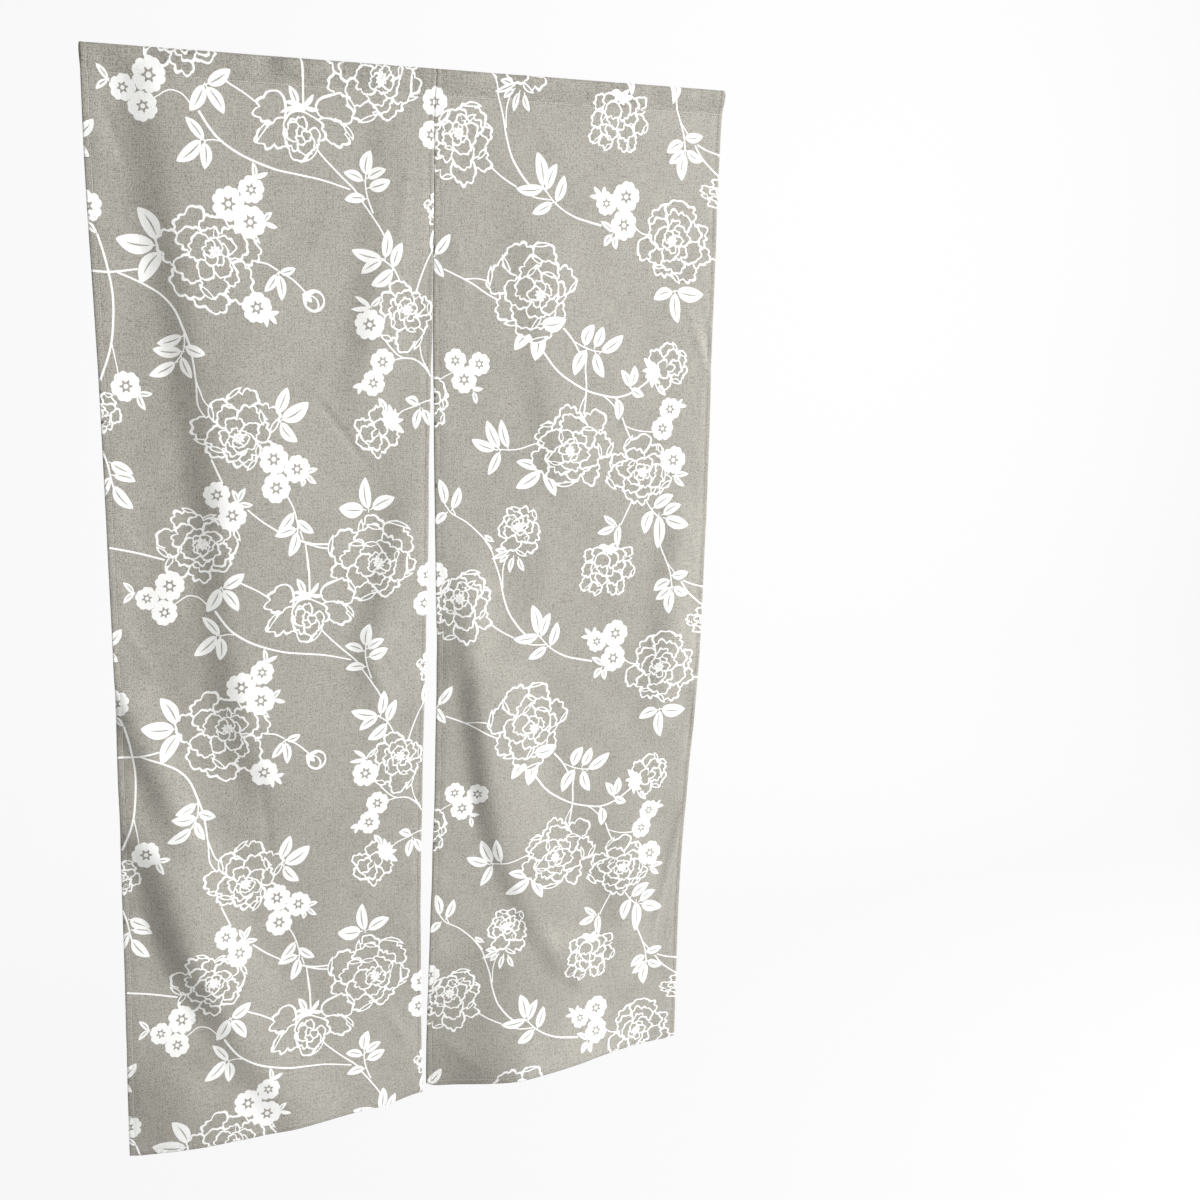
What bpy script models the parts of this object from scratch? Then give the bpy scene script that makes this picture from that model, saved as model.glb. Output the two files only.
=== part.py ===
"""A noren: two printed linen-look panels side by side under one rod pocket, sewn
together for a hand's breadth below it and open from there down, as they hang."""

from collections import namedtuple
from math import cos, pi, sin

import bpy
from mathutils import Vector

# Lengths are in millimetres up to the last step, where MM turns them into metres.
# x runs along the top edge from its middle, drop runs down from it, and back is
# how far the cloth stands behind the plane through the middle of the top edge.
MM = 0.001

# Driving sizes
HANG_LENGTH = 1500.0
CLOTH_THICK = 1.4
HEM_THICK = 2.4
HEM_WIDTH = 10.0
PIECE_GAP = 0.3
POCKET_DROP = 34.0
POCKET_ROOM = 6.3
POCKET_WALL = 1.3

# How finely each piece is divided
PANEL_COLUMNS = 34
PANEL_ROWS = 34
POCKET_LENGTHS = 18
POCKET_ARC_STEPS = 6
SLOPE_STEP = 2.0
SLOPE_SHARE = 0.0013

CLOTH_COLOUR = (0.49, 0.46, 0.425, 1.0)
CLOTH_ROUGHNESS = 0.92

# Where the four upright edges stand at each drop. The inner two are 0.3 mm apart
# where the panels are sewn together, and part below that.
Edges = namedtuple("Edges", "drop left_outer left_slit right_slit right_outer")
EDGES = [
    Edges(0, -449.0, 4.85, 5.15, 447.5),
    Edges(130, -449.5, 4.85, 5.15, 447.5),
    Edges(315, -446.5, 4.85, 5.15, 449.0),
    Edges(400, -445.0, 2.5, 6.5, 450.0),
    Edges(650, -444.0, -1.0, 10.0, 451.5),
    Edges(800, -443.5, -3.5, 12.5, 452.0),
    Edges(960, -445.0, -5.0, 13.0, 450.0),
    Edges(1170, -447.5, -6.5, 12.5, 448.0),
    Edges(1300, -450.0, -6.0, 11.0, 450.0),
    Edges(1400, -452.5, -5.5, 11.0, 453.0),
    Edges(1500, -453.5, -5.0, 10.5, 456.5),
]

# How far the same edges stand back at each drop: the right panel bellies forward.
Stands = namedtuple("Stands", "drop left_outer left_slit right_slit right_outer")
STANDS = [
    Stands(0, 0, 0, 0, 0),
    Stands(315, 0, -1, -1, -4),
    Stands(650, 0, -3, -6, -12),
    Stands(800, 0, -4, -8, -13),
    Stands(960, 0, -2, -6, -8),
    Stands(1170, 0, 0, 4, 1),
    Stands(1300, 0, -2, 10, 3),
    Stands(1500, 0, -9, 17, 6),
]

# The rod pocket's two sides, from the end of the stitched strip up to the round of
# the rod: how far out each skin stands, the outer one and the one on the rod's room.
Skins = namedtuple("Skins", "outer outer_drop room room_drop")
POCKET_SIDE = [
    Skins(1.2, 34.0, 0.25, 28.9),
    Skins(1.3, 29.5, 0.45, 27.9),
    Skins(3.9, 22.0, 2.5, 21.2),
    Skins(6.5, 15.0, 5.2, 14.7),
]

# A fold comes forward over its steep width and goes back over its gentle width, which
# starts at a share of the steep one. Each row of its track gives the place of the
# steep side and the rise at a drop.
GENTLE_START = 0.9
Fold = namedtuple("Fold", "steep gentle track")
Track = namedtuple("Track", "drop place rise")
FOLDS = {
    "left": {
        "lip": Fold(20, 70, [Track(34, -472, 2.5), Track(300, -470, 3.5), Track(700, -466, 4.0),
                             Track(820, -470, 0)]),
        "long": Fold(56, 240, [Track(34, -385, 5.5), Track(200, -366, 9.0), Track(371, -341, 11.0),
                               Track(540, -321, 11.0), Track(700, -311, 10.0), Track(860, -292, 9.0),
                               Track(940, -268, 6.0), Track(1080, -245, 0)]),
        "edge": Fold(34, 60, [Track(770, -458, 0), Track(820, -444, 7.0), Track(880, -426, 8.0),
                              Track(940, -402, 8.0), Track(1000, -386, 5.0), Track(1080, -360, 0)]),
        "deep": Fold(54, 110, [Track(930, -470, 0), Track(1000, -444, 8.0), Track(1060, -412, 13.0),
                               Track(1120, -399, 16.0), Track(1180, -384, 16.0), Track(1240, -362, 14.0),
                               Track(1300, -332, 10.0), Track(1360, -305, 8.0), Track(1420, -268, 6.0),
                               Track(1500, -235, 5.0)]),
        "corner": Fold(150, 380, [Track(1270, -470, 0), Track(1360, -445, 10.0), Track(1420, -430, 14.0),
                                  Track(1500, -405, 15.0)]),
        "high": Fold(44, 70, [Track(34, -85, 1.0), Track(220, -85, 3.0), Track(280, -98, 4.5),
                              Track(340, -102, 4.5), Track(400, -118, 3.0), Track(480, -130, 0)]),
        "middle": Fold(46, 80, [Track(520, -40, 0), Track(640, -68, 6.0), Track(700, -82, 6.0),
                                Track(760, -100, 6.5), Track(820, -100, 4.5), Track(900, -100, 0)]),
    },
    "right": {
        "slit": Fold(52, 70, [Track(620, 26, 0), Track(700, 42, 5.0), Track(760, 28, 7.0),
                              Track(820, 22, 5.0), Track(880, 14, 0)]),
        "run": Fold(36, 130, [Track(700, 50, 0), Track(790, 53, 6.0), Track(860, 60, 10.5),
                              Track(940, 73, 10.5), Track(1000, 83, 11.0), Track(1060, 94, 9.5),
                              Track(1120, 112, 8.0), Track(1180, 140, 6.0), Track(1240, 172, 4.5),
                              Track(1320, 215, 3.0), Track(1400, 270, 0)]),
        "hem": Fold(190, 270, [Track(1240, 60, 0), Track(1300, 85, 14.0), Track(1400, 80, 14.0),
                               Track(1500, 78, 38.0)]),
        "high": Fold(50, 110, [Track(150, 120, 0), Track(280, 132, 3.5), Track(340, 146, 3.5),
                               Track(460, 165, 3.5), Track(520, 182, 3.5), Track(620, 200, 0)]),
        "border": Fold(50, 60, [Track(540, 385, 0), Track(640, 380, 4.5), Track(760, 376, 4.5),
                                Track(820, 372, 5.5), Track(880, 362, 4.5), Track(960, 360, 0)]),
        "low": Fold(60, 90, [Track(1000, 290, 0), Track(1120, 300, 2.5), Track(1240, 315, 3.5),
                             Track(1320, 325, 2.5), Track(1400, 330, 0)]),
    },
}

# Hem corners that the stitching draws up: which panel, x of the corner, how far
# along the hem and up the edge that reaches, and how high the corner is drawn.
Corner = namedtuple("Corner", "side x reach height lift")
CORNERS = [
    Corner("left", -453.0, 16.0, 30.0, 2.0),
    Corner("left", -5.0, 70.0, 60.0, 9.0),
    Corner("right", 10.0, 16.0, 30.0, 5.0),
    Corner("right", 455.0, 16.0, 30.0, 2.0),
]


def smooth(share):
    """Eases a share from 0 to 1, level at both ends."""
    share = min(max(share, 0.0), 1.0)
    return share * share * (3 - 2 * share)


def slope_at(table, row, column):
    """The slope of a column at one row: level at a peak, a trough and either end."""
    if row in (0, len(table) - 1):
        return 0.0
    below = table[row - 1]
    here = table[row]
    above = table[row + 1]
    before = (here[column] - below[column]) / (here.drop - below.drop)
    after = (above[column] - here[column]) / (above.drop - here.drop)
    return 2 * before * after / (before + after) if before * after > 0 else 0.0


def along(table, drop, column):
    """A column of a table at any drop, on a smooth curve through its rows."""
    if drop <= table[0].drop:
        return table[0][column]
    if drop >= table[-1].drop:
        return table[-1][column]
    row = max(i for i, entry in enumerate(table) if entry.drop <= drop)
    low = table[row]
    high = table[row + 1]
    span = high.drop - low.drop
    t = (drop - low.drop) / span
    rise = high[column] - low[column]
    start = slope_at(table, row, column) * span
    end = slope_at(table, row + 1, column) * span
    bend = start - rise + t * (2 * rise - start - end)
    return low[column] + t * rise + t * (1 - t) * bend


def upright_edges(table, side, drop):
    """The outer and the slit edge's values of one panel at a drop."""
    outer = along(table, drop, table[0]._fields.index(side + "_outer"))
    slit = along(table, drop, table[0]._fields.index(side + "_slit"))
    return outer, slit


def fold_rise(fold, x, drop):
    """How far one fold brings the cloth forward."""
    if not fold.track[0].drop <= drop <= fold.track[-1].drop:
        return 0.0
    past = x - along(fold.track, drop, 1) + fold.steep / 2
    rise = max(along(fold.track, drop, 2), 0.0)
    gentle_past = past - fold.steep * GENTLE_START
    return rise * (smooth(past / fold.steep) - smooth(gentle_past / fold.gentle))


def cloth_back(side, x, drop):
    """How far the cloth of one panel stands back at a place."""
    outer, slit = upright_edges(EDGES, side, drop)
    outer_back, slit_back = upright_edges(STANDS, side, drop)
    share = (x - outer) / (slit - outer)
    flat = outer_back + (slit_back - outer_back) * share
    return flat - sum(fold_rise(fold, x, drop) for fold in FOLDS[side].values())


def corner_lift(side, x, drop):
    """How far the nearest drawn-up corner raises the cloth."""
    lift = 0.0
    for corner in CORNERS:
        if corner.side == side:
            beside = smooth(1 - abs(x - corner.x) / corner.reach)
            above = smooth(1 - (HANG_LENGTH - drop) / corner.height)
            lift += corner.lift * beside * above
    return lift


def cloth_point(side, share, drop):
    """A point of one panel, share being 0 at its outer edge and 1 at the slit."""
    outer, slit = upright_edges(EDGES, side, drop)
    x = outer + (slit - outer) * share
    return Vector((x, cloth_back(side, x, drop), corner_lift(side, x, drop) - drop))


def cloth_front(side, share, drop):
    """The unit vector that points out of the front of the cloth at a point."""
    across = cloth_point(side, share + SLOPE_SHARE, drop) - cloth_point(side, share - SLOPE_SHARE, drop)
    down = cloth_point(side, share, drop + SLOPE_STEP) - cloth_point(side, share, drop - SLOPE_STEP)
    front = across.cross(down).normalized()
    return front if front.y < 0 else -front


def spread(start, end, steps, border):
    """Values from start to end with one extra at the inside of each border."""
    low = start + border
    high = end - border
    inner = [low + (high - low) * i / steps for i in range(steps + 1)]
    return [start] + inner + [end]


def panel_thickness(share, drop, hem_share):
    """Doubled at the turned hems, single cloth elsewhere."""
    beside = share < hem_share / 2 or share > 1 - hem_share / 2
    below = drop > HANG_LENGTH - HEM_WIDTH / 2
    return HEM_THICK if beside or below else CLOTH_THICK


def make_panel(side):
    """One hanging panel, from under the rod pocket to its hem, as one closed sheet."""
    width = abs(EDGES[0].left_outer - EDGES[0].left_slit)
    hem_share = HEM_WIDTH / width
    shares = spread(0.0, 1.0, PANEL_COLUMNS, hem_share)
    top = POCKET_DROP + PIECE_GAP
    drops = spread(top, HANG_LENGTH, PANEL_ROWS, HEM_WIDTH)
    points = []
    for facing in (1, -1):
        for drop in drops:
            for share in shares:
                half = panel_thickness(share, drop, hem_share) / 2
                offset = cloth_front(side, share, drop) * half * facing
                offset.z = 0 if drop == top else offset.z
                if share in (0.0, 1.0):
                    offset.x = 0
                points.append(cloth_point(side, share, drop) + offset)
    return make_piece("panel_" + side, points, sheet_faces(len(shares), len(drops)))


def sheet_faces(columns, rows):
    """The faces of a closed sheet whose front grid of points comes before its back one."""
    count = columns * rows
    faces = []
    for row in range(rows - 1):
        for column in range(columns - 1):
            a = row * columns + column
            b = a + 1
            c = b + columns
            d = a + columns
            faces.append((a, b, c, d))
            faces.append((count + a, count + d, count + c, count + b))
    rim = list(range(columns))
    rim += [row * columns + columns - 1 for row in range(1, rows)]
    rim += [(rows - 1) * columns + column for column in reversed(range(columns - 1))]
    rim += [row * columns for row in reversed(range(1, rows - 1))]
    for here, there in zip(rim, rim[1:] + rim[:1]):
        faces.append((here, count + here, count + there, there))
    return faces


def pocket_section():
    """The rod pocket across its length: pairs of outer and inner (back, drop) points,
    from the front of the stitched strip up over the rod's room and down the back."""
    radius = POCKET_ROOM + POCKET_WALL
    behind = [((row.outer, row.outer_drop), (row.room, row.room_drop)) for row in POCKET_SIDE]
    front = [((-outer[0], outer[1]), (-inner[0], inner[1])) for outer, inner in behind]
    arc = []
    for step in range(POCKET_ARC_STEPS + 1):
        angle = pi * step / POCKET_ARC_STEPS
        outward = (-cos(angle), -sin(angle))
        arc.append((
            (radius * outward[0], radius + radius * outward[1]),
            (POCKET_ROOM * outward[0], radius + POCKET_ROOM * outward[1]),
        ))
    return front + arc + behind[::-1]


def make_heading(side):
    """The rod pocket above one panel: an open sleeve with its stitched strip below."""
    section = pocket_section()
    around = len(section)
    points = []
    for step in range(POCKET_LENGTHS + 1):
        share = step / POCKET_LENGTHS
        foot = cloth_point(side, share, POCKET_DROP)
        top = cloth_point(side, share, 0)
        for outer, inner in section:
            for back, drop in (outer, inner):
                follow = smooth(drop / POCKET_DROP)
                points.append(Vector((top.x, back + foot.y * follow, -drop)))
    faces = []
    for step in range(POCKET_LENGTHS):
        for place in range(around):
            here = (step * around + place) * 2
            beside = (step * around + (place + 1) % around) * 2
            there = here + around * 2
            opposite = beside + around * 2
            faces.append((here, there, opposite, beside))
            faces.append((here + 1, beside + 1, opposite + 1, there + 1))
    last = POCKET_LENGTHS * around * 2
    for place in range(around):
        here = place * 2
        beside = (place + 1) % around * 2
        faces.append((here, beside, beside + 1, here + 1))
        faces.append((last + here, last + here + 1, last + beside + 1, last + beside))
    return make_piece("heading_" + side, points, faces)


def cloth_material(name):
    """Plain undyed cloth, matt."""
    material = bpy.data.materials.new(name)
    material.use_nodes = True
    shader = material.node_tree.nodes["Principled BSDF"]
    shader.inputs["Base Color"].default_value = CLOTH_COLOUR
    shader.inputs["Roughness"].default_value = CLOTH_ROUGHNESS
    shader.inputs["Metallic"].default_value = 0.0
    material.diffuse_color = CLOTH_COLOUR
    return material


def make_piece(name, points, faces):
    """An object of its own from points in millimetres, its faces turned outwards."""
    mesh = bpy.data.meshes.new(name)
    mesh.from_pydata([point * MM for point in points], [], faces)
    mesh.validate()
    piece = bpy.data.objects.new(name, mesh)
    bpy.context.collection.objects.link(piece)
    if signed_volume(mesh) < 0:
        mesh.flip_normals()
    mesh.shade_smooth()
    mesh.materials.append(cloth_material(name + "_cloth"))
    return piece


def signed_volume(mesh):
    """Six times the volume inside a closed mesh, below zero if it is inside out."""
    mesh.calc_loop_triangles()
    total = 0.0
    for triangle in mesh.loop_triangles:
        a, b, c = (mesh.vertices[i].co for i in triangle.vertices)
        total += a.dot(b.cross(c))
    return total


def clear_scene():
    for old in list(bpy.data.objects):
        bpy.data.objects.remove(old, do_unlink=True)


def main():
    clear_scene()
    for side in ("left", "right"):
        make_heading(side)
        make_panel(side)


main()
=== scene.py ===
"""The looks of the noren: each panel as one printed, hemmed and stitched cloth from
its rod pocket to its hem, in the folds of the solids that it replaces."""

from collections import deque, namedtuple
from math import atan2, cos, hypot, pi, radians, sin
from random import Random

import bpy
import numpy as np
from mathutils import Matrix, Vector
from mathutils.geometry import delaunay_2d_cdt


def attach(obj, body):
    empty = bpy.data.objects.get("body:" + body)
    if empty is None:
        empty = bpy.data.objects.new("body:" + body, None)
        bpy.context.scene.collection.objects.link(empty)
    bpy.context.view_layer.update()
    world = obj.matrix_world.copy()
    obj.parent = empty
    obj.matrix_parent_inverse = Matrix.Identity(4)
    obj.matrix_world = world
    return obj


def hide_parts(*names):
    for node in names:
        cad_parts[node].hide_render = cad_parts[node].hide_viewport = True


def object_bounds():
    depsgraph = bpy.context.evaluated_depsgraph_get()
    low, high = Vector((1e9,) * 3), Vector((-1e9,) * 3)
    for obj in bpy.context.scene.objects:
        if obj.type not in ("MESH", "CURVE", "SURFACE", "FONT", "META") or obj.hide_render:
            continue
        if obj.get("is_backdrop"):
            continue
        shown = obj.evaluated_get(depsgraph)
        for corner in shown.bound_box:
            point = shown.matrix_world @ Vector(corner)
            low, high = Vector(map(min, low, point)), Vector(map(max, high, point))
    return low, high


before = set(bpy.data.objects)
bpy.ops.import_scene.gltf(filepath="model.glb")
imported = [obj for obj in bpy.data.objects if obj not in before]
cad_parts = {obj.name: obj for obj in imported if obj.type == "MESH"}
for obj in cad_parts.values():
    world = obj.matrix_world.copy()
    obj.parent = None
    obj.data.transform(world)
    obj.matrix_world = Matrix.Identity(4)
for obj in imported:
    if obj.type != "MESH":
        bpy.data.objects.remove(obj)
CAD_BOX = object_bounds()

# Lengths are in millimetres up to the last step, where MM turns them into metres.
# x runs along the top edge from its middle. run is the way down the front of the
# cloth from the top edge, and below zero it goes on down the back of the pocket.
MM = 0.001

# Cloth
HANG_LENGTH = 1500.0
POCKET_DROP = 34.0
POCKET_RADIUS = 7.1
PLY_GAP = 0.7
CLOTH_HALF = 0.5
HEM_WIDTH = 9.6
HEM_STEP = 0.8
HEM_EXTRA = 1.1
EDGE_ROUND = 1.6
EDGE_ROLL = 0.4
STITCH_INSET = 7.8
STITCH_RUN = 32.5
STITCH_DIP = 0.3
STITCH_REACH = 1.8
TURNED_IN = 10.0

# Sewing: one stitch every pitch, each a thread of this radius that dips at both ends
STITCH_PITCH = 3.2
STITCH_LONG = 2.7
THREAD_RADIUS = 0.3
THREAD_DIP = 0.3
THREAD_RISE = 0.6
STITCH_PARTS = (0.0, 0.28, 0.72, 1.0)

# How finely the cloth is divided
LATTICE = 10.0
CUT_NEAR = 1e-4
CREASE_CLEAR = 1.0
HEM_INSETS = (0.0, 0.8, 1.6, 6.0, 7.8, 8.8)
POCKET_ROWS = 1.9
CREASE_STEP = 7.0
CREASE_OFFSETS = (-1.6, -0.8, 0.0, 0.8, 1.6)
SLOPE_STEP = 1.5

# Where the printed face lies on its baked picture, with the inside beside it
BAKED_LEFT = 0.02
BAKED_WIDE = 0.46
BAKED_TOP = 0.985
BAKED_HIGH = 0.97

# Where the four upright edges stand at each drop. The inner two are 0.3 mm apart
# where the panels are sewn together, and part below that.
Edges = namedtuple("Edges", "drop left_outer left_slit right_slit right_outer")
EDGES = [
    Edges(0, -449.0, 4.85, 5.15, 447.5),
    Edges(130, -449.5, 4.85, 5.15, 447.5),
    Edges(315, -446.5, 4.85, 5.15, 449.0),
    Edges(400, -445.0, 2.5, 6.5, 450.0),
    Edges(650, -444.0, -1.0, 10.0, 451.5),
    Edges(800, -443.5, -3.5, 12.5, 452.0),
    Edges(960, -445.0, -5.0, 13.0, 450.0),
    Edges(1170, -447.5, -6.5, 12.5, 448.0),
    Edges(1300, -450.0, -6.0, 11.0, 450.0),
    Edges(1400, -452.5, -5.5, 11.0, 453.0),
    Edges(1500, -453.5, -5.0, 10.5, 456.5),
]

# How far the same edges stand back at each drop: the right panel bellies forward.
Stands = namedtuple("Stands", "drop left_outer left_slit right_slit right_outer")
STANDS = [
    Stands(0, 0, 0, 0, 0),
    Stands(315, 0, -1, -1, -4),
    Stands(650, 0, -3, -6, -12),
    Stands(800, 0, -4, -8, -13),
    Stands(960, 0, -2, -6, -8),
    Stands(1170, 0, 0, 4, 1),
    Stands(1300, 0, -2, 10, 3),
    Stands(1500, 0, -9, 17, 6),
]

# A fold comes forward over its steep width and goes back over its gentle width.
# Each row of its track gives the place of the steep side and the rise at a drop.
Fold = namedtuple("Fold", "steep gentle track")
Track = namedtuple("Track", "drop place rise")
FOLDS = {
    "left": {
        "lip": Fold(20, 70, [Track(34, -472, 2.5), Track(300, -470, 3.5), Track(700, -466, 4.0),
                             Track(820, -470, 0)]),
        "long": Fold(56, 240, [Track(34, -385, 5.5), Track(200, -366, 9.0), Track(371, -341, 11.0),
                               Track(540, -321, 11.0), Track(700, -311, 10.0), Track(860, -292, 9.0),
                               Track(940, -268, 6.0), Track(1080, -245, 0)]),
        "edge": Fold(34, 60, [Track(770, -458, 0), Track(820, -444, 7.0), Track(880, -426, 8.0),
                              Track(940, -402, 8.0), Track(1000, -386, 5.0), Track(1080, -360, 0)]),
        "deep": Fold(54, 110, [Track(930, -470, 0), Track(1000, -444, 8.0), Track(1060, -412, 13.0),
                               Track(1120, -399, 16.0), Track(1180, -384, 16.0), Track(1240, -362, 14.0),
                               Track(1300, -332, 10.0), Track(1360, -305, 8.0), Track(1420, -268, 6.0),
                               Track(1500, -235, 5.0)]),
        "corner": Fold(150, 380, [Track(1270, -470, 0), Track(1360, -445, 10.0), Track(1420, -430, 14.0),
                                  Track(1500, -405, 15.0)]),
        "high": Fold(44, 70, [Track(34, -85, 1.0), Track(220, -85, 3.0), Track(280, -98, 4.5),
                              Track(340, -102, 4.5), Track(400, -118, 3.0), Track(480, -130, 0)]),
        "middle": Fold(46, 80, [Track(520, -40, 0), Track(640, -68, 6.0), Track(700, -82, 6.0),
                                Track(760, -100, 6.5), Track(820, -100, 4.5), Track(900, -100, 0)]),
    },
    "right": {
        "slit": Fold(52, 70, [Track(620, 26, 0), Track(700, 42, 5.0), Track(760, 28, 7.0),
                              Track(820, 22, 5.0), Track(880, 14, 0)]),
        "run": Fold(36, 130, [Track(700, 50, 0), Track(790, 53, 6.0), Track(860, 60, 10.5),
                              Track(940, 73, 10.5), Track(1000, 83, 11.0), Track(1060, 94, 9.5),
                              Track(1120, 112, 8.0), Track(1180, 140, 6.0), Track(1240, 172, 4.5),
                              Track(1320, 215, 3.0), Track(1400, 270, 0)]),
        "hem": Fold(190, 270, [Track(1240, 60, 0), Track(1300, 85, 14.0), Track(1400, 80, 14.0),
                               Track(1500, 78, 38.0)]),
        "high": Fold(50, 110, [Track(150, 120, 0), Track(280, 132, 3.5), Track(340, 146, 3.5),
                               Track(460, 165, 3.5), Track(520, 182, 3.5), Track(620, 200, 0)]),
        "border": Fold(50, 60, [Track(540, 385, 0), Track(640, 380, 4.5), Track(760, 376, 4.5),
                                Track(820, 372, 5.5), Track(880, 362, 4.5), Track(960, 360, 0)]),
        "low": Fold(60, 90, [Track(1000, 290, 0), Track(1120, 300, 2.5), Track(1240, 315, 3.5),
                             Track(1320, 325, 2.5), Track(1400, 330, 0)]),
    },
}

# Soft creases: from one place to another, how wide each side of the
# middle line, and how far it stands out of the cloth, or in where it is below zero.
Crease = namedtuple("Crease", "x drop to_x to_drop wide rise")
CREASES = {
    "left": [
        (-176, 404, -84, 524, 5.0, -1.1), (-196, 382, -120, 462, 9.0, 0.7),
        (-66, 748, 2, 744, 5.0, -1.2), (-106, 772, -44, 868, 6.0, 0.9),
        (-84, 762, -38, 842, 5.0, -0.7), (-440, 560, -392, 640, 6.0, 0.7),
        (-444, 612, -398, 704, 7.0, -0.8), (-436, 700, -384, 800, 8.0, 0.9),
        (-250, 930, -236, 1090, 7.0, -0.9), (-392, 900, -330, 1080, 13.0, 1.5),
        (-330, 1180, -180, 1330, 26.0, 2.0), (-70, 1330, -20, 1420, 9.0, 1.2),
        (-130, 1090, -96, 1230, 10.0, -0.8), (-404, 1330, -300, 1440, 14.0, -1.4),
        (-428, 60, -398, 150, 7.0, -1.0), (-28, 90, -48, 250, 7.0, 0.8),
    ],
    "right": [
        (362, 282, 404, 290, 5.0, -0.8), (400, 288, 452, 420, 6.0, 0.9),
        (428, 300, 462, 440, 5.0, -0.8), (462, 1000, 392, 1350, 7.0, 1.3),
        (440, 850, 462, 1010, 6.0, 0.9), (18, 1408, 112, 1488, 9.0, 1.0),
        (150, 1210, 300, 1392, 16.0, 1.6), (20, 1236, 130, 1322, 22.0, -1.3),
        (214, 1270, 262, 1380, 9.0, -0.9), (96, 820, 190, 1030, 14.0, 1.0),
        (300, 1270, 322, 1360, 9.0, -1.0), (30, 180, 60, 330, 9.0, 0.7),
    ],
}

# The cloth's slight unevenness: waves of these lengths, ways and heights
Ripple = namedtuple("Ripple", "length turn rise")
RIPPLES = [Ripple(211, 8, 0.55), Ripple(137, 74, 0.30), Ripple(92, 139, 0.26), Ripple(67, 28, 0.16),
           Ripple(49, 103, 0.10)]
RIPPLE_SWAY = 1.4
SWAY_LENGTHS = (97, 143, 61, 118)

# A fold starts to go back at this share of its steep side, a crease fades at each
# end over one part in so many, and the cloth under the pocket bends in over a drop.
FOLD_TURN = 0.9
CREASE_FADES = 3
POCKET_BEND = 14

# Dents in the empty rod pocket: where, how wide each way, and the share of its
# thickness that is lost
Dent = namedtuple("Dent", "x wide depth")
DENTS = [Dent(-424, 12, 0.25), Dent(-372, 34, 0.35), Dent(-222, 14, 0.6), Dent(-118, 30, 0.25),
         Dent(-30, 18, 0.35), Dent(92, 22, 0.3), Dent(228, 40, 0.35), Dent(330, 16, 0.25),
         Dent(418, 22, 0.3)]

# Hem corners that the stitching draws up: x of the corner, how far along the hem and
# up the edge that reaches, and how high the corner is drawn.
Corner = namedtuple("Corner", "x reach height lift")
CORNERS = {
    "left": [Corner(-453.0, 16.0, 30.0, 2.0), Corner(-5.0, 70.0, 60.0, 9.0)],
    "right": [Corner(10.0, 16.0, 30.0, 5.0), Corner(455.0, 16.0, 30.0, 2.0)],
}

# The print, in millimetres on the flat cloth: across from the curtain's middle,
# down from its top edge. It repeats down the cloth. Each table below holds its rows
# by panel.
REPEAT = 632.0
POINT_STEP = 2.6
STALK_STEP = 5.0
DISC_POINTS = 14

# Peonies up to this size lack the outermost ring and have larger petals instead
LARGE_FLOWER = 50
SMALL_GROWN = 1.3

# How far a petal strays: round its ring in petals, out, in its length and its width
# as shares, and in the way that it leans. In a fan it strays by degrees.
AIM_STRAY = 0.22
OUT_STRAY = (0.82, 1.08)
LONG_STRAY = (0.86, 1.08)
WIDE_STRAY = (0.78, 1.2)
LEAN_STRAY = 0.4
FAN_AIM_STRAY = 7
FAN_OUT_STRAY = (0.94, 1.06)
FAN_WIDE_STRAY = (0.85, 1.15)
FAN_LEAN_STRAY = 0.3

# A peony's heart: a burst of stamens with small specks in it
STAMEN_POINTS = 36
BURST = 8.0
BURST_CORE = 0.72
SPIKES = 9
SPIKE_REACH = 0.5
SPIKE_SHARPNESS = 1.5
SPECKS = 7
SPECK_OUT = (0.15, 0.65)
SPECK_SIZE = (0.45, 0.7)
SPECK_POINTS = 6

# A blossom, in shares of its radius: petals with a gap between and a notch in each,
# a star of bare cloth and a white heart
BLOSSOM_POINTS = 60
BLOSSOM_PETALS = 5
PETAL_REACH = 1.04
GAP_DEPTH = 0.2
GAP_SHARPNESS = 2.2
NOTCH_DEPTH = 0.09
NOTCH_SHARPNESS = 4
STAR_POINTS = 42
STAR_RAYS = 6
STAR_CORE = 0.27
STAR_REACH = 0.2
RAY_SHARPNESS = 4
BLOSSOM_HEART = 0.17
HEART_POINTS = 9

# A petal's edge: its lobes, with cusps and finer frills between them as shares of a
# lobe, a cleft, and slow swellings, as shares of the petal's reach.
FEWEST_POINTS = 16
FEWEST_LOBES = 4
LOBE_STRAY = 0.55
CUSP_DEPTH = 0.28
CUSP_SHARPNESS = 1.8
FRILL_DEPTH = 0.22
FRILL_SHARPNESS = 1.3
SWELLINGS = ((2, 0.07), (3, 0.08))
CLEFT_DEPTH = 0.17
CLEFT_WIDE = 0.24
CLEFT_STRAY = 0.5
FAR_SIDE = 0.8

# A petal's line, and the crescent of a turned lip inside it
LINE_SWELL = (0.92, 0.26)
LEAST_STEP = 1e-9
LEAST_SQUARE = 0.66
LEAST_REACH = 0.25
LEAST_LINE = 0.75
LIP_STARTS = (-1.7, -1.3, 0.1, 0.4)
LIP_TURN = (1.1, 1.6)
LIP_DEPTH = (6.5, 9.0)
LIP_FULLNESS = 0.7
LIP_STEPS = 11
LIP_OPEN = 2.3
LIP_LINE = 0.6
LIP_INSIDE = 0.98

# A leaf's fullness, and where its form is broadest, nearer to the foot
LEAF_FULLNESS = 1.52
LEAF_NEAR = 0.66
LEAF_FAR = 0.82
LEAF_STEP = 2.4
LEAF_BEND = (0.08, 0.2)

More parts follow.
